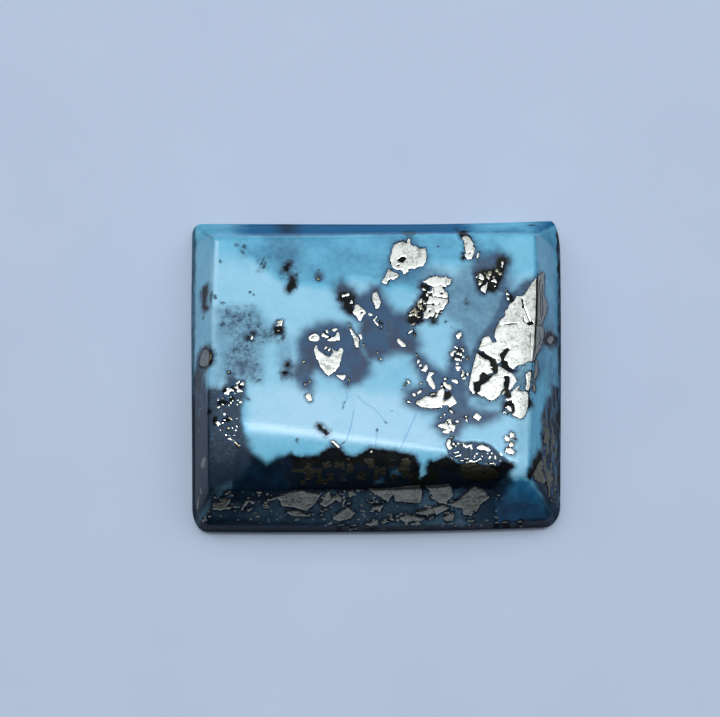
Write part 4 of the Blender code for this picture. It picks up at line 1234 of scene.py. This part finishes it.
class Shading:
    """A material under construction, with what the finishes share."""

    def __init__(self, name: str) -> None:
        """Starts a material with its usual shader.

        Args:
            name: The material's name.
        """
        self.material = bpy.data.materials.new(name)
        self.material.use_nodes = True
        self.tree = self.material.node_tree
        self.shader = self.tree.nodes["Principled BSDF"]
        self.place = self.add(Node.PLACE)

    def add(self, node: Node, *values: object, **settings: object) -> Socket:
        """Adds a node with its settings and links.

        Args:
            node: Its kind.
            values: What its inputs are given in turn: values, hex colours or the outputs that feed them.
            settings: Further settings by name.

        Returns:
            The output that is read.
        """
        kind, own, inputs, output = node.value
        made = self.tree.nodes.new("ShaderNode" + kind)
        for name, value in (own | settings).items():
            setattr(made, name, value)
        for name, value in zip(inputs, values):
            if isinstance(value, Socket):
                self.tree.links.new(value, made.inputs[name])
            else:
                made.inputs[name].default_value = linear(value) if isinstance(value, str) else value
        return made.outputs[output]

    def pattern(self, size: float, detail: float = 2.0, stretch: float = 1.0) -> Socket:
        """Cloudy noise between 0 and 1, mostly near a half.

        Args:
            size: The width of its lumps in millimetres.
            detail: How many finer layers it has.
            stretch: How many times longer the lumps are along Y and Z.

        Returns:
            The output that carries it.
        """
        scale = 1 / (size * MM)
        place = self.add(Node.SCALED, self.place, (scale, scale / stretch, scale / stretch))
        return self.add(Node.NOISE, place, 1.0, detail)

    def stirred(self, value: object, noises: tuple[Socket, ...], amounts: Span) -> Socket:
        """A value with noises added, each less a half and times its amount.

        Args:
            value: A number, or the output that carries it.
            noises: The noises' outputs.
            amounts: How much of each is added.

        Returns:
            The output that carries the sum.
        """
        for output, amount in zip(noises, amounts, strict=True):
            value = self.add(Node.ADD, value, self.add(Node.MULTIPLY_ADD, output, amount, -amount / 2))
        return value

    def finish(self, colour: Socket, roughness: Socket, height: Socket, depth: float) -> bpy.types.Material:
        """Feeds the shader and returns the material.

        Args:
            colour: The base colour's output.
            roughness: The roughness's output.
            height: The relief's output.
            depth: What the relief's full height stands for, in millimetres.

        Returns:
            The material.
        """
        bump = self.add(Node.BUMP, 1.0, depth * MM, height)
        for name, value in (("Base Color", colour), ("Roughness", roughness), ("Normal", bump)):
            self.tree.links.new(value, self.shader.inputs[name])
        return self.material


@dataclass(frozen=True)
class TurquoiseFinish:
    """Natural turquoise in black matrix, cut and polished.

    The polish gives the eye a clear, slightly soft mirror over an even sky blue. The blue deepens in clouds,
    turns violet-grey where fine matrix is mixed in, and ends in a brown-black that shines like dull metal.
    The back bevel is left satin, so it looks soft, and the girdle is only ground, so it looks matt.

    Lengths are in millimetres. A noise is given by the width of its lumps, its finer layers and its stretch,
    and a step by where it begins and ends and how far it rises. A stir is how much of each noise is added.
    """

    blues: tuple[tuple[float, str], ...] = (
        (0.0, "#afdae8"), (0.3, "#9ad0e0"), (0.7, "#6ebcd3"), (1.0, "#035e88"),
    )
    haze: str = "#1b4464"
    violet: str = "#27304a"
    slates: tuple[str, str, str] = ("#0f1820", "#22303b", "#43617a")
    navy: str = "#0a1a29"
    teal: str = "#0f2e40"
    freckle: str = "#143c50"
    crack: str = "#4f9cc8"
    black: str = "#06080a"
    brown: str = "#14150f"
    ior: float = 1.5
    specular: float = 0.27
    roughness: float = 0.16
    black_roughness: float = 0.42
    slate_roughness: float = 0.25
    black_metal: float = 0.85
    dusky_metal: float = 0.4
    relief: float = 0.006
    speck_relief: float = 0.32
    black_relief: float = 0.4
    mottle_relief: float = 0.35
    streak_contrast: float = 3.0
    broad_noise: Span = (1.6,)
    cloud_noise: Span = (0.75, 4.0)
    mottle_noise: Span = (0.28, 3.0)
    speck_noise: Span = (0.13,)
    grit_noise: Span = (0.05,)
    streak_noise: Span = (0.09, 2.0, 9.0)
    whole_stir: Span = (1.0,)
    depth_stir: Span = (0.3, 0.12)
    haze_stir: Span = (0.35, 0.2)
    freckle_stir: Span = (0.7, 0.95, 0.7)
    slate_stir: Span = (0.3, 0.3, 0.2)
    grain_stir: Span = (0.7, 0.5, 0.4)
    spot_stir: Span = (0.15, 0.2)
    matrix_stir: Span = (0.04, 0.12, 0.24)
    ring_stir: Span = (0.12, 0.16)
    navy_stir: Span = (0.3, 0.1)
    haze_step: Span = (-0.08, 1.0, 0.97)
    bruise_steps: tuple[Span, ...] = ((0.42, 0.6), (0.6, 0.97))
    freckle_steps: tuple[Span, ...] = ((-0.3, 0.45, 0.9), (0.14, 0.34, 0.8))
    slate_step: Span = (0.05, 0.85)
    grain_steps: tuple[Span, ...] = ((0.3, 0.5), (0.55, 0.8))
    crack_step: Span = (0.07, 0.01, 0.6)
    spot_step: Span = (-0.06, 0.04, 0.9)
    teal_step: Span = (-0.36, -0.04, 0.8)
    halo_step: Span = (-0.16, -0.02, 0.95)
    ring_step: Span = (-0.22, -0.03, 0.6)
    dusk_step: Span = (0.3, 0.9, 0.75)
    navy_step: Span = (0.0, 1.0)
    navy_teal_step: Span = (0.4, 0.7, 0.6)
    matrix_step: Span = (-0.09, 0.0)
    rim_step: Span = (-0.07, -0.02)
    brown_step: Span = (0.42, 0.66)
    satin_step: Span = (6.95, 7.2, 0.6)
    ground_step: Span = (0.92, 0.782, 0.4)

    def blue(self, made: Shading, depth: Socket) -> Socket:
        """The plain stone's colour, from its depth of blue.

        Args:
            made: The material.
            depth: The output that carries the depth.

        Returns:
            The output that carries the colour.
        """
        ramp = made.add(Node.RAMP, depth)
        ends = ramp.node.color_ramp.elements
        ends[0].color, ends[1].color = linear(self.blues[0][1]), linear(self.blues[-1][1])
        for position, colour in self.blues[1:-1]:
            ends.new(position).color = linear(colour)
        return ramp

    def material(self) -> bpy.types.Material:
        """Builds the material, which reads the stone's painted attributes, from the blue up to the black.

        Returns:
            The material.
        """
        made = Shading("polished_turquoise")
        add, stirred = made.add, made.stirred
        noises = (self.broad_noise, self.cloud_noise, self.mottle_noise,
                  self.speck_noise, self.grit_noise, self.streak_noise)
        broad, cloud, mottle, speck, grit, streak = (made.pattern(*given) for given in noises)
        depth = stirred(add(Node.PAINTED, attribute_name="depth"), (broad, mottle), self.depth_stir)
        colour = self.blue(made, depth)

        lined = stirred(0.0, (streak,), self.whole_stir)
        lined = add(Node.MULTIPLY, lined, add(Node.PAINTED, attribute_name="streak"))
        haze = stirred(add(Node.PAINTED, attribute_name="haze"), (cloud, mottle), self.haze_stir)
        haze = add(Node.ADD, haze, lined)
        haze = add(Node.STEP, haze, *self.haze_step)
        in_clouds, in_haze = self.bruise_steps
        bruise = add(Node.MULTIPLY, add(Node.STEP, broad, *in_clouds), add(Node.STEP, haze, *in_haze))
        colour = add(Node.MIX, haze, colour, add(Node.MIX, bruise, self.haze, self.violet))
        freckled = add(Node.PAINTED, attribute_name="freckle")
        dots = stirred(0.0, (speck, mottle, cloud), self.freckle_stir)
        for window in self.freckle_steps:
            spread = add(Node.MULTIPLY, add(Node.STEP, dots, *window), freckled)
            colour = add(Node.MIX, spread, colour, self.freckle)

        slate = stirred(add(Node.PAINTED, attribute_name="slate"), (cloud, mottle, speck), self.slate_stir)
        slate = add(Node.STEP, slate, *self.slate_step)
        grains = stirred(0.5, (speck, mottle, grit), self.grain_stir)
        grains = add(Node.MULTIPLY_ADD, lined, self.streak_contrast, grains)
        stony = self.slates[0]
        for window, lighter in zip(self.grain_steps, self.slates[1:]):
            stony = add(Node.MIX, add(Node.STEP, grains, *window), stony, lighter)
        colour = add(Node.MIX, slate, colour, stony)

        spot = stirred(add(Node.PAINTED, attribute_name="spot"), (grit, speck), self.spot_stir)
        matrix = stirred(add(Node.PAINTED, attribute_name="matrix"), (grit, speck, mottle), self.matrix_stir)
        pyrite = stirred(add(Node.PAINTED, attribute_name="pyrite"), (speck, mottle), self.ring_stir)
        halo = add(Node.STEP, matrix, *self.halo_step)
        layers = (
            (add(Node.STEP, add(Node.PAINTED, attribute_name="crack"), *self.crack_step), self.crack),
            (add(Node.STEP, spot, *self.spot_step), self.freckle),
            (add(Node.STEP, matrix, *self.teal_step), self.teal),
            (halo, self.navy),
            (add(Node.STEP, pyrite, *self.ring_step), self.haze),
        )
        for factor, layer in layers:
            colour = add(Node.MIX, factor, colour, layer)
        navy = add(Node.PAINTED, attribute_name="navy")
        dusk = add(Node.STEP, navy, *self.dusk_step)
        navy = add(Node.STEP, stirred(navy, (cloud, speck), self.navy_stir), *self.navy_step)
        clouded = add(Node.MIX, add(Node.STEP, cloud, *self.navy_teal_step), self.navy, self.teal)
        colour = add(Node.MIX, navy, colour, clouded)
        black = add(Node.STEP, matrix, *self.matrix_step)
        black = add(Node.MAXIMUM, black, add(Node.STEP, pyrite, *self.rim_step))
        ember = add(Node.MIX, add(Node.STEP, cloud, *self.brown_step), self.black, self.brown)
        colour = add(Node.MIX, black, colour, add(Node.MIX, dusk, ember, self.navy))

        made.shader.inputs["IOR"].default_value = self.ior
        made.shader.inputs["Specular IOR Level"].default_value = self.specular
        dusky = add(Node.MAXIMUM, halo, add(Node.MAXIMUM, navy, slate))
        metal = add(Node.MAXIMUM, black, add(Node.MULTIPLY, dusky, self.dusky_metal))
        metal = add(Node.MULTIPLY, metal, self.black_metal)
        made.tree.links.new(metal, made.shader.inputs["Metallic"])
        rough = add(Node.MULTIPLY_ADD, black, self.black_roughness - self.roughness, self.roughness)
        rough = add(Node.MULTIPLY_ADD, slate, self.slate_roughness, rough)
        _, along, rise = add(Node.PARTS, made.place).node.outputs
        for value, (low, high, top) in ((along, self.satin_step), (rise, self.ground_step)):
            rough = add(Node.ADD, rough, add(Node.STEP, value, low * MM, high * MM, top))
        height = add(Node.MULTIPLY_ADD, black, self.black_relief, self.speck_relief)
        height = add(Node.MULTIPLY_ADD, mottle, self.mottle_relief, add(Node.MULTIPLY, speck, height))
        return made.finish(colour, rough, height, self.relief)


@dataclass(frozen=True)
class PyriteFinish:
    """Pyrite, polished flush with the stone around it.

    It gives the eye a pale brassy mirror, clouded by fine wear and crossed by hair-fine dark joints. Grains
    that took less polish are browner and duller. The grains of the sides and of the dark front are painted
    browner and darker still, partly as painted shade for the dim light they mirror there. Noises, stirs and
    steps are given as the turquoise's are.
    """

    bright: str = "#b1afa3"
    shade: str = "#7d7b70"
    tarnish_and_shade: str = "#696350"
    joint: str = "#24221b"
    roughness: float = 0.18
    relief: float = 0.006
    lump_noise: Span = (0.6, 5.0)
    wear_noise: Span = (0.22, 3.0)
    pit_noise: Span = (0.07,)
    whole_stir: Span = (1.0,)
    shade_stir: Span = (0.5, 0.25)
    blackened_and_shaded_stir: Span = (0.6,)
    rough_stir: Span = (0.15,)
    relief_stir: Span = (0.3,)
    shade_step: Span = (0.48, 0.72)
    tarnish_and_shade_step: Span = (0.1, 0.7, 0.9)
    blackened_and_shaded_step: Span = (0.62, 1.0, 0.9)
    joint_step: Span = (0.012, 0.0, 0.75)
    pit_step: Span = (0.66, 0.72, 0.8)
    dull_step: Span = (0.7, 1.0, 0.15)

    def material(self) -> bpy.types.Material:
        """Builds the material, which reads the polish painted on the grains.

        Returns:
            The material.
        """
        made = Shading("polished_pyrite")
        add, stirred = made.add, made.stirred
        polish = add(Node.PAINTED, attribute_name="polish")
        noises = (self.lump_noise, self.wear_noise, self.pit_noise)
        lump, wear, pit = (made.pattern(*given) for given in noises)
        away = add(Node.ABSOLUTE, stirred(0.0, (lump,), self.whole_stir))
        shaded = stirred(lump, (wear, pit), self.shade_stir)
        blackened_and_shaded = stirred(polish, (wear,), self.blackened_and_shaded_stir)
        # The tarnish and the blackening also paint shade on the grains of the sides and of the dark front.
        layers = (
            (add(Node.STEP, shaded, *self.shade_step), self.shade),
            (add(Node.STEP, polish, *self.tarnish_and_shade_step), self.tarnish_and_shade),
            (add(Node.STEP, blackened_and_shaded, *self.blackened_and_shaded_step), self.joint),
            (add(Node.STEP, away, *self.joint_step), self.joint),
            (add(Node.STEP, pit, *self.pit_step), self.joint),
        )
        colour = self.bright
        for factor, layer in layers:
            colour = add(Node.MIX, factor, colour, layer)
        made.shader.inputs["Metallic"].default_value = 1.0
        rough = stirred(self.roughness, (wear,), self.rough_stir)
        rough = add(Node.ADD, rough, add(Node.STEP, polish, *self.dull_step))
        height = stirred(wear, (pit,), self.relief_stir)
        return made.finish(colour, rough, height, self.relief)


@dataclass(frozen=True)
class FloorFinish:
    """Plain matt board, which gives the eye a soft pale grey with the faintest unevenness.

    Noises and stirs are given as the turquoise's are.
    """

    colour: str = "#c2cad6"
    shade: str = "#bcc4d1"
    roughness: float = 0.65
    relief: float = 0.002
    cloud_noise: Span = (9.0, 4.0)
    grain_noise: Span = (0.25,)
    rough_stir: Span = (0.1,)

    def material(self) -> bpy.types.Material:
        """Builds the material.

        Returns:
            The material.
        """
        made = Shading("pale_matt_board")
        cloud, grain = made.pattern(*self.cloud_noise), made.pattern(*self.grain_noise)
        colour = made.add(Node.MIX, cloud, self.colour, self.shade)
        rough = made.stirred(self.roughness, (cloud,), self.rough_stir)
        return made.finish(colour, rough, grain, self.relief)


@dataclass(frozen=True)
class Stone:
    """The turquoise with its matrix: one closed mesh of table, walls and base, with sizes in millimetres."""

    form: StoneForm = StoneForm()
    finish: TurquoiseFinish = TurquoiseFinish()
    detail: Detail = Detail(arc=12, long_side=210, short_side=168, bevel=24, girdle=7)
    reach: float = 0.5
    wander: float = 0.05
    wander_size: float = 0.35
    plain_depth: float = 0.35
    pit_depth: float = 0.012
    pit_edge: Span = (-0.05, 0.08)
    base_top: float = 0.02

    def zone(self, tone: Tone, plan: Array) -> Array:
        """One tone's strength, as its washes lay it down.

        Washes of blue are laid one over another, and of the other tones' washes the strongest counts.

        Args:
            tone: The tone.
            plan: The vertices' places in plan.

        Returns:
            A weight for each vertex.
        """
        field = np.full(len(plan), self.plain_depth if tone is Tone.DEPTH else 0.0)
        for wash in WASHES[tone]:
            depth = depth_in_any(plan, (wash.outline,), 3 * wash.softness * MM) / MM
            weight = eased(depth, -wash.softness, wash.softness)
            if tone is Tone.DEPTH:
                field += (wash.value - field) * weight
            else:
                field = np.maximum(field, wash.value * weight)
        return field

    def paint(self, points: Array) -> dict[str, Array]:
        """Works out the stone's colour zones, with distances in millimetres and weights from about 0 to 1.

        An outline is met where the point, moved a little by noise, crosses it, so that edges wander as
        natural ones do.

        Args:
            points: The vertices' places.

        Returns:
            One array for each attribute.
        """
        wander = [noise(points, self.wander_size * MM, seed) for seed in (Seed.WANDER_X, Seed.WANDER_Y)]
        plan = points[:, :2]
        moved = plan + np.column_stack(wander) * self.wander * MM
        reach = self.reach * MM
        pyrite = depth_in_any(plan, sum(GRAINS.values(), ()), reach)
        pyrite[points[:, 2] < self.base_top * MM] = -reach
        matrix = np.minimum(depth_in_any(moved, MATRIX, reach), -depth_in_any(moved, WINDOWS, reach))
        painted = {
            "pyrite": pyrite / MM,
            "matrix": matrix / MM,
            "spot": depth_in_any(moved, SPOTS, reach) / MM,
            "crack": gap_to_any(plan, CRACKS, reach) / MM,
        }
        painted.update({tone.value: self.zone(tone, moved) for tone in Tone})
        return painted

    def build(self) -> Object:
        """Builds the mesh, sinks its matrix a little below the polish and dresses it.

        Returns:
            The stone.
        """
        table, walls = self.form.surfaces(self.detail)
        numbers = np.arange(walls[..., 0].size).reshape(walls.shape[:2])
        border = self.form.border(*table.shape[:2])
        inner = np.ones(table.shape[:2], bool)
        inner[border] = False
        order = np.empty(table.shape[:2], int)
        order[border] = numbers[0]
        order[inner] = numbers.size + np.arange(inner.sum())
        points = np.concatenate((walls.reshape(-1, 3), table[inner]))
        middle = numbers[-1, ::-1].tolist()
        faces = quads(numbers, True).tolist() + quads(order, False).tolist() + [middle]
        painted = self.paint(points)
        stone = put_mesh("turquoise_body", points, faces, painted)
        normals = np.empty(points.size, np.float32)
        stone.data.vertex_normals.foreach_get("vector", normals)
        sunk = self.pit_depth * MM * eased(painted["matrix"], *self.pit_edge)
        sunk[points[:, 2] < self.base_top * MM] = 0
        points = points - normals.reshape(-1, 3) * sunk[:, None]
        stone.data.vertices.foreach_set("co", points.ravel())
        stone.data.update()
        stone.data.materials.append(self.finish.material())
        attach(stone, "root")
        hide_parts("turquoise_stone")
        return stone


@dataclass(frozen=True)
class PyriteGrains:
    """The grains of pyrite on the table and round the sides: thin closed plates, sizes in millimetres."""

    form: StoneForm = StoneForm()
    finish: PyriteFinish = PyriteFinish()
    detail: Detail = Detail(arc=20, long_side=320, short_side=252, bevel=50, girdle=18)
    reach: float = 0.3
    proud: float = 0.012
    lip: float = 0.003
    thickness: float = 0.1
    shoulder: float = 0.04
    black_loss: float = 0.9
    dimple: float = 0.4
    dimple_size: float = 0.12
    dimple_edge: Span = (0.1, 0.6)
    dimple_least: float = 0.3
    ragged: float = 0.02
    ragged_size: float = 0.09
    vein_size: float = 0.36
    vein_width: float = 0.024
    girdle_loss: float = 0.05
    girdle_ragged: float = 0.12
    girdle_size: float = 0.35
    lowest: float = 0.1

    def depth(self, points: Array) -> tuple[Array, Array]:
        """How far points lie inside the grains, and how the grain there has taken the polish.

        Crumbly grains lose a thin line wherever a noise passes through zero, and every edge is a little
        ragged. On the girdle the grains are smaller.

        Args:
            points: Places on the stone's surface.

        Returns:
            The depths in millimetres, and the polish as a number.
        """
        plan = points[:, :2]
        reach = self.reach * MM
        kinds = {kind: depth_in_any(plan, outlines, reach) / MM for kind, outlines in GRAINS.items()}
        vein = np.abs(noise(points, self.vein_size * MM, Seed.VEIN)) * self.vein_size / 2
        vein -= self.vein_width / 2
        kinds[Polish.CRUMBLY] = np.minimum(kinds[Polish.CRUMBLY], vein)
        for number, strewn in enumerate(STREWN):
            stretched = points / (1, strewn.stretch, strewn.stretch)
            own = noise(stretched, strewn.size * MM, Seed.STREWN + number)
            area = depth_in_any(plan, (strewn.outline,), reach) / MM
            own = np.minimum((own - strewn.level) * strewn.size / 2, area)
            kinds[strewn.polish] = np.maximum(kinds[strewn.polish], own)
        depth = np.max(list(kinds.values()), axis=0)
        polish = np.zeros(len(points))
        for kind, own in kinds.items():
            polish[own >= depth] = kind.value
        depth = depth + self.ragged * noise(points, self.ragged_size * MM, Seed.RAGGED)
        low = points[:, 2] < self.form.girdle_height * MM
        loss = self.girdle_loss + self.girdle_ragged * noise(points, self.girdle_size * MM, Seed.GIRDLE)
        depth -= np.where(low, loss, 0)
        depth = np.minimum(depth, -depth_in_any(plan, PITS, reach) / MM)
        for width, line in JOINTS:
            depth = np.minimum(depth, gap_to_any(plan, (line,), reach) / MM - width / 2)
        return np.minimum(depth, points[:, 2] / MM - self.lowest), polish

    def plate(self, name: str, grid: Array, ringed: bool) -> Object:
        """Cuts the grains out of one of the stone's surfaces and gives them thickness and shoulders.

        Args:
            name: The piece's name.
            grid: The surface's points.
            ringed: Whether its second direction runs round and closes.

        Returns:
            The grains as one object.
        """
        if ringed:
            around = np.roll(grid, -1, axis=1) - np.roll(grid, 1, axis=1)
            normals = unit(np.cross(around, -np.gradient(grid, axis=0)))
        else:
            normals = unit(np.cross(np.gradient(grid, axis=0), np.gradient(grid, axis=1)))
        faces = quads(np.arange(grid[..., 0].size).reshape(grid.shape[:2]), ringed)
        points, normals = grid.reshape(-1, 3), normals.reshape(-1, 3)
        depth, polish = self.depth(points)
        # Grains on the bevels and girdle get at least the worn polish: painted browner and darker, partly as
        # shade.
        if ringed:
            polish = np.maximum(polish, Polish.WORN_AND_SHADED.value)
        pairs, share, triangles = cut(depth, np.concatenate((faces[:, :3], faces[:, (0, 2, 3)])))

        def between(values: Array) -> Array:
            """Values at the cut mesh's vertices."""
            part = share if values.ndim == 1 else share[:, None]
            return values[pairs[:, 0]] * (1 - part) + values[pairs[:, 1]] * part

        points, normals, polish = between(points), unit(between(normals)), between(polish)
        depth = np.where(pairs[:, 0] == pairs[:, 1], depth[pairs[:, 0]], 0)
        flush = 1 - self.black_loss * eased(polish, Polish.DULL.value, Polish.BLACK.value)
        rise = self.lip + self.proud * eased(depth, 0, self.shoulder) * flush
        dimples = eased(noise(points, self.dimple_size * MM, Seed.DIMPLE), *self.dimple_edge)
        rise -= self.dimple * self.proud * dimples * (polish + self.dimple_least) * (depth > 0)
        top = points + normals * rise[:, None] * MM
        bottom = points - normals * self.thickness * MM
        number = len(points)
        edges = triangles[:, ((0, 1), (1, 2), (2, 0))].reshape(-1, 2)
        ways, backs = edges[:, 0] * number + edges[:, 1], edges[:, 1] * number + edges[:, 0]
        start, end = edges[~np.isin(ways, backs)].T
        walls = (
            np.column_stack((start, start + number, end + number)),
            np.column_stack((start, end + number, end)),
        )
        faces = np.concatenate((triangles, triangles[:, ::-1] + number, *walls))
        extras = {"polish": np.tile(polish, 2)}
        made = put_mesh(name, np.concatenate((top, bottom)), faces.tolist(), extras)
        made.data.materials.append(self.finish.material())
        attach(made, "root")
        return made

    def build(self) -> list[Object]:
        """Builds the grains of the table and those of the bevels and the girdle."""
        table, walls = self.form.surfaces(self.detail)
        return [self.plate("pyrite_of_table", table, False), self.plate("pyrite_of_sides", walls, True)]


@dataclass(frozen=True)
class Softbox:
    """A rectangular lamp aimed at the stone.

    back and right are its tilts from overhead in degrees, distance, width and height are in metres, and
    power is in watts.
    """

    name: str
    back: float
    right: float
    distance: float
    width: float
    height: float
    power: float
    colour: str = "#e7f1ff"

    def build(self) -> None:
        """Places the lamp, tilted back from overhead and then to the right."""
        lamp = bpy.data.lights.new(self.name, "AREA")
        lamp.shape = "RECTANGLE"
        lamp.size, lamp.size_y, lamp.energy = self.width, self.height, self.power
        lamp.color = linear(self.colour)[:3]
        made = bpy.data.objects.new(self.name, lamp)
        back, right = np.radians(self.back), np.radians(self.right)
        way = Vector((np.sin(right), np.sin(back) * np.cos(right), np.cos(back) * np.cos(right)))
        made.location = way * self.distance
        made.rotation_mode = "QUATERNION"
        made.rotation_quaternion = way.to_track_quat("Z", "Y")
        bpy.context.scene.collection.objects.link(made)


@dataclass(frozen=True)
class Studio:
    """The pale floor, the lamps, the dim room and the camera above the front of the stone.

    Places and sizes are in metres, the lens and its sensor in millimetres, and the elevation in degrees.
    """

    floor_finish: FloorFinish = FloorFinish()
    lamps: tuple[Softbox, ...] = (
        Softbox("large_softbox", 22, 0, 0.5, 1.28, 0.51, 4.0),
        Softbox("strip_light", 10.8, 0, 0.48, 0.22, 0.034, 0.6),
    )
    room: str = "#c9d4e6"
    room_light: float = 0.08
    floor_size: float = 6.0
    lens: float = 280.0
    sensor: float = 36.0
    nearest: float = 0.01
    farthest: float = 20.0
    elevation: float = 70.0
    distance: float = 0.303
    aim: tuple[float, float, float] = (-0.8807 * MM, 0.9486 * MM, 0.0)

    def build(self) -> None:
        """Builds the floor, lamps, world and camera."""
        half = self.floor_size / 2
        corners = np.array(((-half, -half, 0), (half, -half, 0), (half, half, 0), (-half, half, 0)))
        floor = put_mesh("floor", corners, [[0, 1, 2, 3]], {})
        floor.data.materials.append(self.floor_finish.material())
        for lamp in self.lamps:
            lamp.build()
        world = bpy.data.worlds.new("dim_room")
        world.use_nodes = True
        world.node_tree.nodes["Background"].inputs["Color"].default_value = linear(self.room)
        world.node_tree.nodes["Background"].inputs["Strength"].default_value = self.room_light
        bpy.context.scene.world = world
        bpy.context.scene.view_settings.view_transform = "Standard"
        self.place_camera()

    def place_camera(self) -> None:
        """Puts the camera on a line that rises from its aim toward the front."""
        data = bpy.data.cameras.new("camera")
        data.lens, data.sensor_width = self.lens, self.sensor
        data.clip_start, data.clip_end = self.nearest, self.farthest
        camera = bpy.data.objects.new("camera", data)
        rise = np.radians(self.elevation)
        way = Vector((0, -np.cos(rise), np.sin(rise)))
        camera.location = Vector(self.aim) + way * self.distance
        camera.rotation_mode = "QUATERNION"
        camera.rotation_quaternion = (-way).to_track_quat("-Z", "Y")
        bpy.context.scene.collection.objects.link(camera)
        bpy.context.scene.camera = camera


def main() -> None:
    """Builds the studio, the stone and its grains, and logs how many faces each piece has."""
    logging.basicConfig(level=logging.INFO, format="%(name)s: %(message)s")
    Studio().build()
    for piece in (Stone().build(), *PyriteGrains().build()):
        log.info("%s has %d faces", piece.name, len(piece.data.polygons))


if __name__ == "__main__":
    main()
